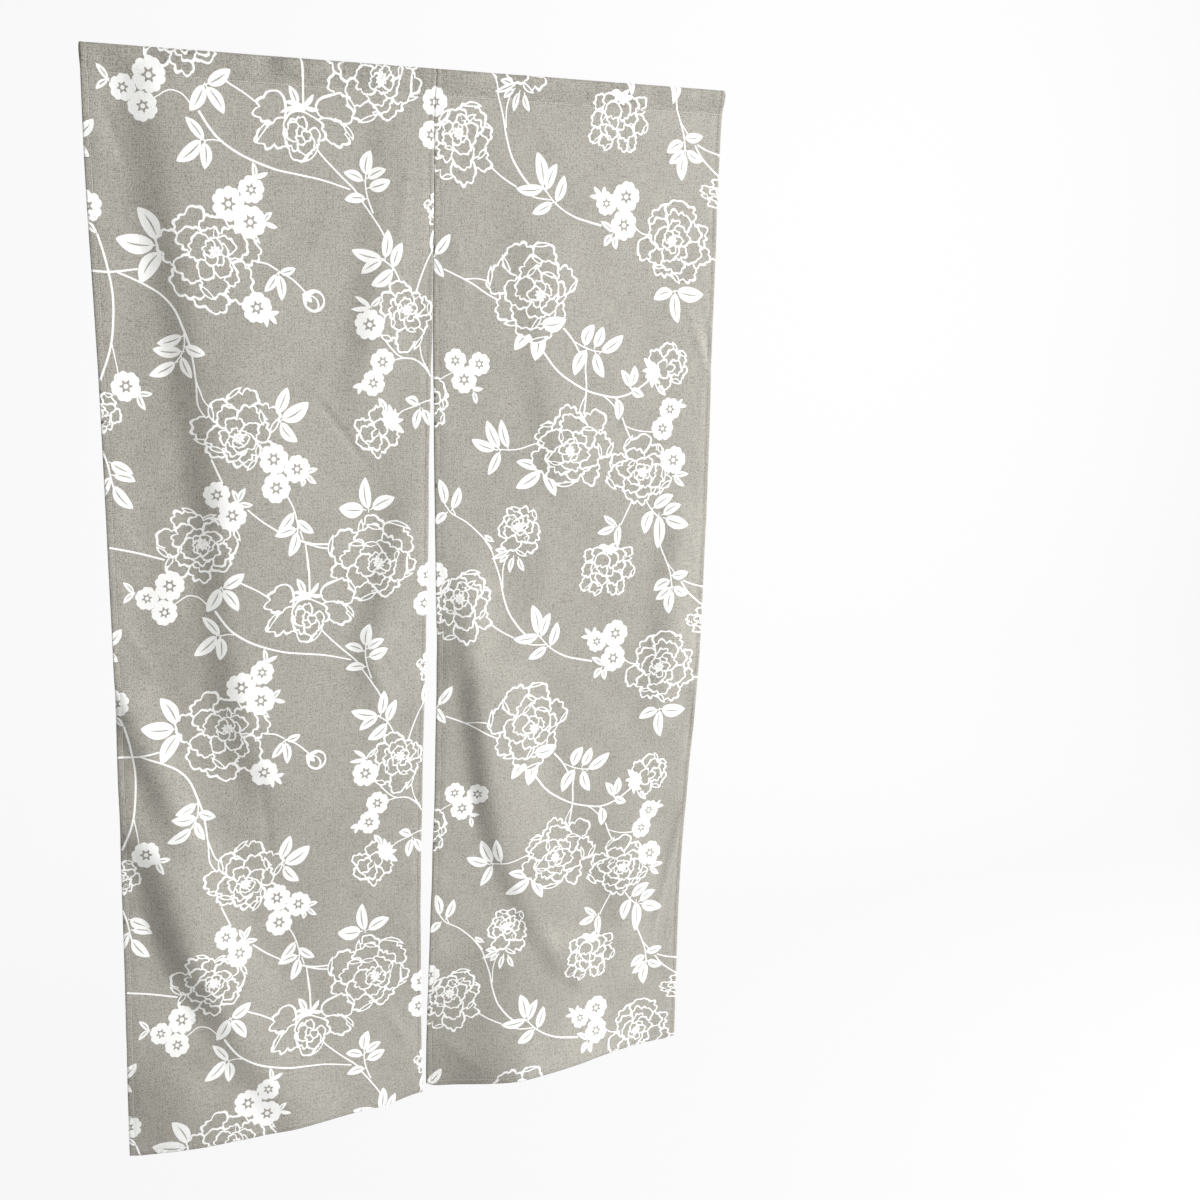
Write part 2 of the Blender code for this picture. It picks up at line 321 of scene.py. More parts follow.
# The short stalk under a leaf, and the midrib of one that is wide enough to show it
TAIL_SHARES = (-0.12, 0.15)
TAIL_WIDE = (1.2, 2.2)
WIDE_LEAF = 6.5
RIB_START = (0.08, 0.14)
RIB_END = (0.72, 0.84)
RIB_WIDE = 0.04

# A peony's rings of petals, the outermost first, as shares of its size: where their
# middles lie, how far they follow its heart off the middle, their half length and
# half width. Their lobes and lines are in millimetres, and some have a turned lip.
Ring = namedtuple("Ring", "out follows long wide petals lobe line lips")
RINGS = [
    Ring(0.64, 0.2, 0.37, 0.36, 7, 15.0, 3.2, 0.55),
    Ring(0.45, 0.5, 0.32, 0.32, 6, 14.0, 3.0, 0.45),
    Ring(0.27, 0.8, 0.25, 0.24, 5, 12.0, 2.7, 0.3),
    Ring(0.14, 1.0, 0.16, 0.15, 5, 10.0, 2.4, 0.0),
]

# Rows of petals of the flowers seen from the side, in the same way, the farthest
# first. Their middles are spread, in degrees about the way that the flower opens,
# round a point that lies a share of its size from the stalk.
Fan = namedtuple("Fan", "start out long wide spreads lobe line lips")
FANS = {
    "nodding": [
        Fan(0.0, 0.62, 0.38, 0.27, (-94, 86), 17.0, 3.3, 0.7),
        Fan(0.0, 0.70, 0.40, 0.26, (-52, 48), 17.0, 3.2, 0.6),
        Fan(0.0, 0.60, 0.36, 0.40, (2,), 17.0, 3.0, 0.3),
        Fan(0.0, 0.40, 0.34, 0.42, (0,), 17.0, 2.9, 0.0),
        Fan(0.50, 0.20, 0.17, 0.18, (160, 60, -80, 100, -20), 11.0, 2.7, 0.0),
        Fan(0.50, 0.08, 0.11, 0.12, (30, 150, -90), 9.0, 2.5, 0.0),
    ],
    "layered": [
        Fan(0.0, 0.98, 0.24, 0.19, (-27, 25, 9, -9), 12.0, 2.9, 0.3),
        Fan(0.0, 0.76, 0.24, 0.20, (-48, 42, -20, 17, 0), 12.0, 2.9, 0.3),
        Fan(0.0, 0.54, 0.22, 0.19, (-72, 62, -36, 30, -8, 12), 11.0, 2.8, 0.3),
        Fan(0.0, 0.34, 0.22, 0.23, (-66, 60, -22, 26), 11.0, 2.8, 0.0),
    ],
    "half": [
        Fan(0.40, 0.36, 0.26, 0.24, (-128, 122, -64, 58, 0), 14.0, 3.1, 0.5),
        Fan(0.40, 0.24, 0.25, 0.22, (-36, 30), 14.0, 3.0, 0.3),
        Fan(0.0, 0.34, 0.25, 0.27, (4,), 40.0, 3.0, 0.0),
    ],
}

# The sepals of each: where they point, how far they reach and how wide they are
Sepal = namedtuple("Sepal", "turn reach wide")
SEPALS = {
    "nodding": [Sepal(-142, 0.30, 0.09), Sepal(98, 0.36, 0.09), Sepal(72, 0.46, 0.08),
                Sepal(-84, 0.30, 0.08), Sepal(0, 0.10, 0.12)],
    "layered": [Sepal(-86, 0.30, 0.11), Sepal(96, 0.27, 0.11), Sepal(-128, 0.22, 0.10),
                Sepal(40, 0.22, 0.10), Sepal(-40, 0.22, 0.10), Sepal(0, 0.12, 0.18)],
    "half": [Sepal(172, 0.26, 0.13), Sepal(146, 0.30, 0.10), Sepal(-150, 0.32, 0.11),
             Sepal(116, 0.38, 0.12), Sepal(-106, 0.44, 0.15), Sepal(84, 0.32, 0.12),
             Sepal(-70, 0.26, 0.12), Sepal(40, 0.24, 0.12), Sepal(-30, 0.22, 0.12),
             Sepal(0, 0.20, 0.16)],
}


# How far a sepal bends, and the disc where the stalk meets the flower, as shares of
# the flower's size
SEPAL_BEND = 0.02
FOOT_SIZE = {"nodding": 0.06, "layered": 0.06, "half": 0.12}

# A shape covers what is drawn before it, with white ink or with bare cloth.
Shape = namedtuple("Shape", "points inked")

# Open flowers: middle, half width and half height, how far the heart is off the
# middle, and the seed of its petals.
Peony = namedtuple("Peony", "x y wide high heart_x heart_y seed")
PEONIES = {
    "left": [
        (-304, 248, 68, 72, 10, -10, 3),
        (-272, 460, 61, 56, 0, 13, 8),
        (-328, 615, 59, 56, 5, -4, 14),
        (-84, 12, 70, 66, 13, 8, 21),
        (-36, 319, 45, 48, 3, -11, 29),
        (-452, 436, 33, 33, 0, 0, 31),
        (14, 174, 27, 26, 0, 0, 34),
    ],
    "right": [
        (46, 94, 54, 56, -6, -16, 41),
        (383, 214, 66, 63, -10, -6, 47),
        (151, 278, 71, 72, 13, 8, 52),
        (219, 498, 71, 64, -6, 7, 58),
        (331, 537, 57, 54, 3, 3, 63),
        (134, 623, 40, 39, 0, -12, 69),
        (457, 140, 43, 24, 0, 0, 74),
        (-6, 432, 40, 44, 0, 0, 79),
    ],
}

# Flowers seen from the side: where the stalk meets them, which way they open in
# degrees, clockwise from right, and their size.
Sideways = namedtuple("Sideways", "kind x y opens size seed")
SIDEWAYS = {
    "left": [
        ("nodding", -174, 57, 92, 70, 5),
        ("half", -54, 455, 146, 60, 12),
    ],
    "right": [
        ("layered", 280, 18, 96, 61, 19),
        ("half", 349, 394, -22, 60, 24),
    ],
}

# Small solid flowers
Blossom = namedtuple("Blossom", "x y radius turn")
BLOSSOMS = {
    "left": [
        (-400, 48, 15.5, 10), (-377, 68.5, 17.5, 40), (-369, 33, 20, 0), (-450, 187, 19, 30),
        (-245, 160.5, 17, 20), (-275.5, 179, 21, 0), (-247.5, 200, 20.5, 50), (-243, 306, 19.5, 15),
        (5, 41, 17.5, 5), (1, 82, 17.5, 33), (-88, 327, 20, 12), (-415, 404, 19, 44),
        (-224, 501.5, 20.5, 0), (-191, 516, 18.5, 25), (-221, 540, 20, 50), (-303, 546, 17.5, 18),
        (-283, 574, 19.5, 60), (-68, 376, 17.5, 22), (-81, 404, 17, 48),
    ],
    "right": [
        (5, 41, 17.5, 5), (1, 82, 10, 33), (265, 160, 16, 30), (296, 150, 20.5, 8),
        (294, 188.5, 20.5, 41), (37, 375, 16, 14), (73, 380, 16, 36), (50, 401, 18.5, 55),
        (366, 476, 17.5, 20), (378, 448, 17, 47), (386, 523, 20, 3),
    ],
}

# Leaves: from the stalk to the tip, and how broad they are
Leaf = namedtuple("Leaf", "x y tip_x tip_y wide")
LEAVES = {
    "left": [
        (-417, 40, -431, 24, 7), (-417, 40, -432, 52, 7), (-297, 38, -268, 21, 15),
        (-302, 40, -320, 71, 16), (-298, 42, -277, 72, 15), (-304, 104, -326, 78, 12),
        (-308, 105, -339, 131, 16), (-303, 107, -304, 139, 14), (-456, 107, -436, 86, 13),
        (-458, 112, -443, 130, 11), (-450, 205, -439, 219, 7), (-366, 224, -388, 186, 19),
        (-370, 231, -417, 224, 22), (-363, 240, -390, 277, 20), (-240, 147, -242, 127, 7),
        (-240, 146, -222, 139, 6), (-229, 199, -218, 187, 7), (-228, 200, -211, 206, 6),
        (-228, 313, -213, 311, 6), (-229, 314, -217, 327, 6), (-230, 315, -230, 331, 6),
        (-210, 262, -189, 256, 10), (-215, 264, -232, 286, 11), (-212, 265, -209, 297, 12),
        (-182, 57, -193, 33, 10), (-90, 136, -84, 105, 16), (-94, 143, -121, 134, 12),
        (-88, 140, -63, 128, 12), (-86, 152, -57, 142, 15), (-91, 166, -120, 168, 12),
        (-65, 240, -61, 204, 14), (-54, 252, -41, 220, 14), (-71, 241, -111, 231, 15),
        (-70, 244, -98, 261, 13), (-55, 256, -85, 276, 16), (-87, 304, -107, 290, 6),
        (-88, 305, -113, 307, 6), (-86, 303, -72, 290, 7), (2, 228, 5, 202, 9),
        (-400, 413, -381, 414, 7), (-400, 414, -391, 435, 8), (-342, 342, -373, 351, 13),
        (-343, 361, -379, 358, 14), (-351, 375, -385, 391, 14), (-343, 368, -331, 395, 11),
        (-338, 355, -313, 365, 13), (-218, 441, -203, 408, 16), (-211, 450, -173, 428, 20),
        (-213, 454, -190, 480, 15), (-178, 521, -161, 517, 7), (-178, 523, -163, 537, 7),
        (-182, 528, -184, 540, 7), (-439, 500, -411, 515, 15), (-436, 516, -408, 525, 12),
        (-437, 530, -413, 560, 15), (-441, 518, -453, 546, 11), (-275, 557, -283, 539, 7),
        (-274, 556, -264, 538, 8), (-273, 558, -254, 561, 7), (-97, 405, -111, 409, 6),
        (-97, 406, -103, 419, 6), (-13, 434, -33, 426, 12), (-11, 440, -17, 468, 12),
        (-7, 441, 3, 463, 11), (-62, 446, -73, 424, 10), (-86, 575, -91, 531, 16),
        (-93, 576, -130, 572, 20), (-80, 575, -47, 561, 17), (-197, 575, -219, 598, 13),
        (-193, 597, -224, 605, 13), (-191, 585, -167, 604, 12), (-192, 602, -204, 634, 14),
    ],
    "right": [
        (166, 140, 156, 96, 17), (172, 144, 186, 110, 14), (187, 160, 198, 125, 14),
        (166, 143, 125, 145, 14), (180, 162, 150, 177, 13), (8, 234, 29, 207, 13),
        (5, 239, 20, 264, 11), (153, 336, 126, 361, 17), (161, 335, 157, 376, 21),
        (235, 355, 250, 326, 17), (252, 357, 265, 329, 15), (263, 364, 298, 341, 16),
        (253, 366, 267, 401, 15), (238, 362, 219, 397, 17), (310, 414, 295, 390, 11),
        (312, 413, 318, 384, 13), (313, 417, 334, 428, 12), (290, 432, 292, 462, 14),
        (355, 408, 371, 428, 9), (392, 444, 399, 433, 5), (392, 445, 406, 444, 6),
        (388, 547, 413, 545, 8), (388, 548, 406, 563, 8), (355, 593, 387, 575, 16),
        (371, 604, 400, 590, 14), (375, 610, 414, 622, 18), (352, 598, 341, 632, 17),
        (364, 606, 364, 656, 17), (388, 66, 418, 63, 13), (385, 73, 359, 88, 15),
        (387, 84, 363, 102, 13), (389, 90, 385, 125, 16), (392, 84, 419, 97, 13),
        (292, 616, 271, 601, 9), (290, 619, 261, 627, 11), (297, 618, 296, 650, 11),
        (257, 150, 244, 138, 6), (258, 149, 261, 137, 6), (256, 151, 238, 151, 6),
        (277, 198, 257, 184, 8), (275, 202, 263, 218, 10), (281, 203, 282, 222, 9),
        (377, 279, 346, 290, 16), (381, 281, 387, 324, 16), (385, 278, 429, 283, 20),
        (165, 528, 130, 517, 13), (167, 534, 129, 555, 17), (172, 535, 192, 569, 14),
        (103, 497, 84, 458, 15), (117, 497, 106, 457, 13), (97, 499, 61, 484, 14),
        (104, 503, 86, 535, 13), (62, 413, 79, 414, 6), (64, 418, 68, 435, 7),
        (20, 573, 12, 538, 13), (31, 580, 42, 550, 13), (22, 586, 6, 601, 12),
        (94, 630, 80, 620, 7), (118, 14, 91, 24, 7), (126, 655, 120, 678, 8),
        (134, 657, 143, 677, 8), (116, 648, 97, 643, 8), (118, 652, 104, 662, 8),
    ],
}

# The leaves that lie over a flower
FRONT_LEAVES = {"left": [], "right": [(167, 325, 205, 319, 20)]}

# Stalks: their width at the start and at the end, and the points they pass.
Stalk = namedtuple("Stalk", "start end route")
STALKS = {
    "left": [
        (1.4, 1.8, [(-366, 60), (-356, 54), (-345, 48), (-330, 51), (-319, 62)]),
        (3.2, 2.0, [(-309, 70), (-297, 88), (-283, 103), (-255, 120), (-215, 134), (-180, 140),
          (-150, 145), (-112, 155)]),
        (1.6, 1.6, [(-303, 105), (-292, 103), (-280, 105)]),
        (2.2, 2.2, [(-281, 29), (-269, 36), (-250, 46), (-232, 58)]),
        (2.8, 2.8, [(-439, 219), (-431, 250), (-425, 290), (-427, 330), (-433, 360), (-447, 396)]),
        (1.6, 1.6, [(-430, 350), (-427, 368), (-424, 388)]),
        (3.0, 2.4, [(-450, 263), (-425, 264), (-392, 260)]),
        (2.4, 3.0, [(-418, 264), (-390, 276), (-366, 290), (-350, 308), (-340, 332), (-332, 355)]),
        (2.6, 1.8, [(-332, 354), (-329, 373), (-326, 400), (-324, 430), (-312, 448)]),
        (2.2, 1.8, [(-326, 398), (-321, 412), (-315, 426), (-300, 440)]),
        (2.0, 1.6, [(-339, 338), (-339, 355), (-345, 368), (-354, 378)]),
        (2.2, 2.2, [(-240, 249), (-227, 251), (-213, 259)]),
        (2.2, 2.2, [(-212, 260), (-195, 269), (-182, 280), (-175, 287)]),
        (2.2, 3.0, [(-178, -2), (-175, 22), (-174, 54)]),
        (2.2, 2.2, [(-164, 98), (-151, 114), (-129, 135), (-107, 154), (-95, 168)]),
        (1.8, 2.4, [(-90, 134), (-91, 148), (-88, 165), (-81, 184)]),
        (2.2, 2.2, [(-96, 169), (-82, 188), (-69, 207), (-63, 219)]),
        (1.8, 2.4, [(-72, 241), (-60, 248), (-51, 257), (-43, 273), (-38, 292)]),
        (1.8, 2.4, [(4, 228), (-6, 247), (-16, 272), (-22, 292)]),
        (2.2, 1.8, [(-74, 338), (-58, 343), (-38, 340)]),
        (2.2, 1.8, [(-71, 340), (-56, 358), (-40, 370), (-20, 373), (-4, 385), (4, 396)]),
        (1.8, 1.6, [(-52, 374), (-36, 371), (-18, 374), (0, 385)]),
        (1.8, 1.8, [(-14, 352), (-9, 372), (2, 390)]),
        (1.8, 1.6, [(-47, 451), (-38, 443), (-28, 439), (-14, 435)]),
        (1.6, 1.6, [(-15, 434), (0, 429), (8, 428)]),
        (2.2, 2.4, [(-449, 484), (-443, 503), (-440, 520), (-436, 538)]),
        (2.4, 2.4, [(-309, 499), (-302, 515), (-295, 531)]),
        (2.2, 2.2, [(-262, 567), (-243, 583), (-219, 599)]),
        (2.6, 2.6, [(-447, 609), (-412, 618), (-374, 630)]),
        (2.2, 1.8, [(-207, 549), (-197, 568), (-191, 590), (-191, 606)]),
        (2.0, 2.0, [(-187, 600), (-183, 612)]),
        (3.0, 2.2, [(-188, 613), (-168, 619), (-138, 621)]),
        (2.2, 2.2, [(-180, 617), (-160, 624), (-138, 628)]),
        (2.0, 2.2, [(-180, 616), (-178, 632), (-176, 655)]),
    ],
    "right": [
        (2.0, 2.0, [(78, -8), (86, 3), (93, 15), (96, 28)]),
        (2.0, 3.2, [(95, 24), (104, 50), (109, 76), (117, 102), (127, 119), (139, 134),
          (150, 144)]),
        (1.8, 1.8, [(116, 20), (110, 38), (109, 56), (109, 68)]),
        (2.2, 2.2, [(88, 119), (106, 132), (126, 143)]),
        (1.6, 3.0, [(163, 140), (172, 148), (182, 159), (198, 171), (217, 180), (240, 186),
          (258, 190)]),
        (1.8, 1.8, [(142, 150), (152, 155), (163, 157), (180, 158)]),
        (2.2, 2.2, [(20, 253), (50, 266), (66, 274), (82, 284), (102, 294)]),
        (1.8, 1.8, [(50, 266), (70, 265), (90, 269)]),
        (1.6, 2.2, [(8, 236), (2, 239)]),
        (2.8, 2.6, [(162, 354), (173, 368), (190, 388), (210, 403), (238, 418), (262, 425),
          (287, 429), (308, 425), (326, 416), (345, 403)]),
        (3.0, 2.2, [(201, 331), (216, 347), (229, 368)]),
        (1.8, 1.6, [(219, 350), (236, 358), (252, 363), (266, 364)]),
        (2.4, 2.6, [(239, 366), (237, 388), (239, 410), (238, 430), (235, 452)]),
        (1.6, 1.6, [(238, 425), (230, 440), (226, 454)]),
        (2.0, 1.8, [(264, 425), (278, 435), (290, 448)]),
        (1.8, 1.8, [(286, 428), (291, 440)]),
        (2.4, 2.2, [(299, 458), (306, 475), (313, 488), (318, 500)]),
        (1.6, 1.8, [(305, 471), (325, 478), (352, 481)]),
        (1.8, 1.8, [(358, 498), (365, 508), (374, 517)]),
        (2.0, 2.4, [(340, 580), (352, 597), (366, 610), (374, 620)]),
        (2.2, 2.0, [(324, 562), (318, 580), (308, 600), (299, 617)]),
        (2.2, 2.2, [(366, 10), (370, 24), (378, 42), (386, 64), (389, 86)]),
        (1.6, 1.6, [(380, 46), (393, 62)]),
        (2.2, 2.2, [(409, 75), (426, 82), (452, 89)]),
        (2.4, 2.4, [(405, 76), (421, 96), (452, 120)]),
        (1.8, 1.8, [(311, 190), (324, 199), (342, 201)]),
        (2.2, 2.2, [(430, 229), (456, 235)]),
        (1.8, 1.8, [(170, 490), (154, 494), (130, 500), (100, 499)]),
        (1.4, 1.4, [(8, 404), (24, 395), (37, 390)]),
        (1.6, 2.4, [(19, 572), (28, 585), (38, 592), (52, 600), (66, 612), (80, 626), (92, 641)]),
        (1.6, 1.6, [(31, 579), (36, 590)]),
    ],
}

# Closed buds: middle, half width, and the way they open in degrees
Bud = namedtuple("Bud", "x y radius opens")
BUDS = {"left": [(-165.0, 298.0, 15.0, 35.0)], "right": []}
BUD_POINTS = 32

# A bud's two petals: how far on and aside of its middle in millimetres, their half
# length and half width as shares of its radius, and their lines
Wrap = namedtuple("Wrap", "on aside long wide line")
WRAPS = [Wrap(0, -1.5, 1.02, 0.98, 3.2), Wrap(-1.5, 3.0, 0.80, 0.62, 2.4)]

# Its calyx: where each tip lies in shares of its radius, and its width
Tip = namedtuple("Tip", "on aside wide")
CALYX = [Tip(0.95, 0.10, 6.5), Tip(0.75, 0.85, 4.5), Tip(0.70, -0.85, 5.0)]
CALYX_FOOT = 0.22


# Half of the rod pocket's section, from its stitched strip up to its round top:
# how far the cloth stands out and how far it lies under the top edge.
Section = namedtuple("Section", "out drop")
POCKET_SIDE = [Section(0.7, 34.0), Section(0.8, 29.5), Section(3.4, 22.0), Section(6.0, 15.0)]
POCKET_ARC_STEPS = 12


def smooth(share):
    """Eases a share from 0 to 1, level at both ends."""
    share = np.clip(share, 0.0, 1.0)
    return share * share * (3 - 2 * share)


def along(table, drop, column):
    """A column of a table at many drops, on a smooth curve through its rows."""
    known = np.array([row.drop for row in table], float)
    values = np.array([row[column] for row in table], float)
    spans = np.diff(known)
    grades = np.diff(values) / spans
    before, after = grades[:-1], grades[1:]
    slopes = np.zeros(len(known))
    turning = before * after <= 0
    slopes[1:-1] = np.where(turning, 0, 2 * before * after / np.where(turning, 1, before + after))
    drop = np.clip(drop, known[0], known[-1])
    row = np.clip(np.searchsorted(known, drop, side="right") - 1, 0, len(spans) - 1)
    t = (drop - known[row]) / spans[row]
    rise = values[row + 1] - values[row]
    start = slopes[row] * spans[row]
    end = slopes[row + 1] * spans[row]
    return values[row] + t * rise + t * (1 - t) * (start - rise + t * (2 * rise - start - end))


def upright_edges(table, side, drop):
    """The outer and the slit edge's values of one panel."""
    fields = table[0]._fields
    outer, slit = fields.index(side + "_outer"), fields.index(side + "_slit")
    return along(table, drop, outer), along(table, drop, slit)


def fold_rise(fold, x, drop):
    """How far one fold brings the cloth forward."""
    on = (drop >= fold.track[0].drop) & (drop <= fold.track[-1].drop)
    past = x - along(fold.track, drop, 1) + fold.steep / 2
    rise = np.maximum(along(fold.track, drop, 2), 0)
    gone_back = smooth((past - fold.steep * FOLD_TURN) / fold.gentle)
    return on * rise * (smooth(past / fold.steep) - gone_back)


def crease_rise(crease, x, drop):
    """How far one crease brings the cloth forward."""
    way = np.array([crease.to_x - crease.x, crease.to_drop - crease.drop], float)
    length = hypot(*way)
    ahead, down = way / length
    past = (x - crease.x) * ahead + (drop - crease.drop) * down
    off = (x - crease.x) * down - (drop - crease.drop) * ahead
    share = past / length
    ends = smooth(share * CREASE_FADES) * smooth((1 - share) * CREASE_FADES)
    return crease.rise * ends * np.exp(-(off / crease.wide) ** 2)


def unevenness(x, drop):
    """Low waves that no two places of the cloth share."""
    a, b, c, d = SWAY_LENGTHS
    sway = RIPPLE_SWAY * np.sin(x / a + drop / b) + RIPPLE_SWAY * np.sin(drop / c - x / d)
    total = 0
    for ripple in RIPPLES:
        across = x * cos(radians(ripple.turn)) + drop * sin(radians(ripple.turn))
        total = total + ripple.rise * np.sin(2 * pi * across / ripple.length + sway)
    return total


def cloth_back(side, x, drop):
    """How far the cloth of one panel stands back."""
    outer, slit = upright_edges(EDGES, side, drop)
    outer_back, slit_back = upright_edges(STANDS, side, drop)
    flat = outer_back + (slit_back - outer_back) * (x - outer) / (slit - outer)
    creases = sum(crease_rise(Crease(*row), x, drop) for row in CREASES[side])
    folds = sum(fold_rise(fold, x, drop) for fold in FOLDS[side].values())
    return flat - folds - creases - unevenness(x, drop)


def corner_lift(side, x, drop):
    """How far the nearest drawn-up corner raises the cloth."""
    lift = np.zeros_like(x)
    for corner in CORNERS[side]:
        beside = smooth(1 - np.abs(x - corner.x) / corner.reach)
        lift += corner.lift * beside * smooth(1 - (HANG_LENGTH - drop) / corner.height)
    return lift


def pocket_section():
    """Share of the way up the pocket's side, and how far out and under the top it is."""
    arc = np.linspace(0, pi / 2, POCKET_ARC_STEPS + 1)
    out = np.array([row.out for row in POCKET_SIDE] + list(POCKET_RADIUS * np.cos(arc)))
    drop = np.array([row.drop for row in POCKET_SIDE] + list(POCKET_RADIUS * (1 - np.sin(arc))))
    way = np.concatenate([[0], np.cumsum(np.hypot(np.diff(out), np.diff(drop)))])
    return way / way[-1], out, drop


SECTION = pocket_section()


def cloth_middle(side, share, run):
    """Points of the middle of the cloth, share being 0 at the outer edge and 1 at the slit."""
    drop = np.maximum(run, POCKET_DROP)
    outer, slit = upright_edges(EDGES, side, drop)
    x = outer + (slit - outer) * share
    back = cloth_back(side, x, drop)
    hung = back - PLY_GAP * (1 - smooth((run - POCKET_DROP) / POCKET_BEND))
    climbed = np.clip(1 - np.abs(run) / POCKET_DROP, 0, 1)
    out = np.interp(climbed, SECTION[0], SECTION[1])
    under = np.interp(climbed, SECTION[0], SECTION[2])
    sleeve = np.where(run < 0, out, -out * pocket_fullness(x)) + back * smooth(under / POCKET_DROP)
    in_pocket = run < POCKET_DROP
    y = np.where(in_pocket, sleeve, hung)
    z = np.where(in_pocket, -under, corner_lift(side, x, drop) - run)
    return np.stack([x, y, z], 1)


def pocket_fullness(x):
    """The share of the pocket's thickness that is left beside its dents."""
    return 1 - sum(dent.depth * np.exp(-((x - dent.x) / dent.wide) ** 2) for dent in DENTS)


def cloth_front(side, share, run):
    """Unit vectors pointing out of the printed face."""
    step = SLOPE_STEP / panel_width(side)
    across = cloth_middle(side, share + step, run) - cloth_middle(side, share - step, run)
    down = cloth_middle(side, share, run + SLOPE_STEP) - cloth_middle(side, share, run - SLOPE_STEP)
    front = np.cross(across, down) * (-1 if side == "left" else 1)
    return front / np.linalg.norm(front, axis=1)[:, None]


def panel_span(side):
    """Where a panel's outer and slit edges lie on the flat print."""
    first = EDGES[0]
    return getattr(first, side + "_outer"), getattr(first, side + "_slit")


def panel_width(side):
    outer, slit = panel_span(side)
    return abs(slit - outer)


def edge_distance(side, x, run):
    """How far inside the nearest hemmed edge a place lies."""
    outer, slit = panel_span(side)
    return np.minimum(np.minimum(np.abs(x - outer), np.abs(x - slit)), HANG_LENGTH - run)


def stitch_distance(side, x, run):
    """How far a place lies from the nearest stitched line."""
    hem = np.abs(edge_distance(side, x, run) - STITCH_INSET)
    return np.minimum(hem, np.abs(np.abs(run) - STITCH_RUN))


def cloth_surface(side, x, run, facing):
    """Points of the printed face, facing 1, or of the inside, facing -1."""
    outer, slit = panel_span(side)
    share = (x - outer) / (slit - outer)
    front = cloth_front(side, share, run)
    inside = edge_distance(side, x, run)
    half = CLOTH_HALF - EDGE_ROLL * (1 - smooth(inside / EDGE_ROUND))
    half -= STITCH_DIP * smooth(1 - stitch_distance(side, x, run) / STITCH_REACH)
    if facing < 0:
        half += HEM_EXTRA * smooth((HEM_WIDTH - inside) / HEM_STEP)
    return cloth_middle(side, share, run) + front * (half * facing)[:, None]


def turned(angle):
    """A quarter of a drawing's frame, turned so that its first axis points at an angle."""
    return np.array([[cos(angle), sin(angle)], [-sin(angle), cos(angle)]])


def pointing(angle):
    """A unit vector at an angle."""
    return np.array([cos(angle), sin(angle)])


def around(count):
    """Angles once round, with no angle twice."""
    return np.arange(count) * 2 * pi / count


def ring_of(turn, reach):
    """Points round the origin: their angles and their distances."""
    return np.stack([np.cos(turn), np.sin(turn)], 1) * np.reshape(reach, (-1, 1))


def ellipse_reach(turn, long, wide):
    """How far an ellipse reaches at each angle."""
    return 1 / np.hypot(np.cos(turn) / long, np.sin(turn) / wide)


def petal_outline(at, aim, long, wide, lobe, rng):
    """A petal round a point, its far edge cut into rounded lobes with cusps between."""
    perimeter = pi * (long + wide)
    turn = around(max(FEWEST_POINTS, int(perimeter / POINT_STEP)))
    lobes = max(FEWEST_LOBES, round(perimeter / lobe))
    stray = LOBE_STRAY / lobes * np.sin(2 * turn + rng.uniform(0, 6))
    uneven = turn + stray + rng.uniform(-0.3, 0.3)
    frills = 2 * lobes + 1
    cusps = (1 - np.abs(np.cos(lobes * uneven / 2))) ** CUSP_SHARPNESS
    cusps *= 0.95 + 0.5 * np.sin(2 * uneven + lobes)
    cusps += FRILL_DEPTH * (1 - np.abs(np.cos(frills * uneven / 2))) ** FRILL_SHARPNESS
    far = smooth((np.cos(turn) + FAR_SIDE) / FAR_SIDE)
    reach = ellipse_reach(turn, long, wide)
    from_cleft = (turn - rng.uniform(-CLEFT_STRAY, CLEFT_STRAY) + pi) % (2 * pi) - pi
    reach *= 1 - CLEFT_DEPTH * np.exp(-(from_cleft / CLEFT_WIDE) ** 2)
    swollen = (share * np.sin(waves * turn + rng.uniform(0, 6)) for waves, share in SWELLINGS)
    reach *= sum(swollen, 1)
    reach -= cusps * far * lobe * CUSP_DEPTH
    return at + ring_of(turn, reach) @ turned(aim)


def drawn_in(points, middle, width):
    """An outline drawn in towards its middle by about a line's width, which swells."""
    arm = points - middle
    reach = np.hypot(arm[:, 0], arm[:, 1])
    ahead = np.roll(points, -1, 0) - np.roll(points, 1, 0)
    ahead /= np.maximum(np.hypot(ahead[:, 0], ahead[:, 1]), LEAST_STEP)[:, None]
    square = np.abs(arm[:, 0] * ahead[:, 1] - arm[:, 1] * ahead[:, 0]) / reach
    turn = np.arctan2(arm[:, 1], arm[:, 0])
    swelling = width * (LINE_SWELL[0] + LINE_SWELL[1] * np.sin(3 * turn + middle[0]))
    shrunk = np.maximum(reach - swelling / np.maximum(square, LEAST_SQUARE), reach * LEAST_REACH)
    eased = (2 * shrunk + np.roll(shrunk, 1) + np.roll(shrunk, -1)) / 4
    return middle + arm * (np.minimum(eased, reach - width * LEAST_LINE) / reach)[:, None]


def outlined(points, middle, line):
    """White line around bare cloth."""
    return [Shape(points, True), Shape(drawn_in(points, middle, line), False)]


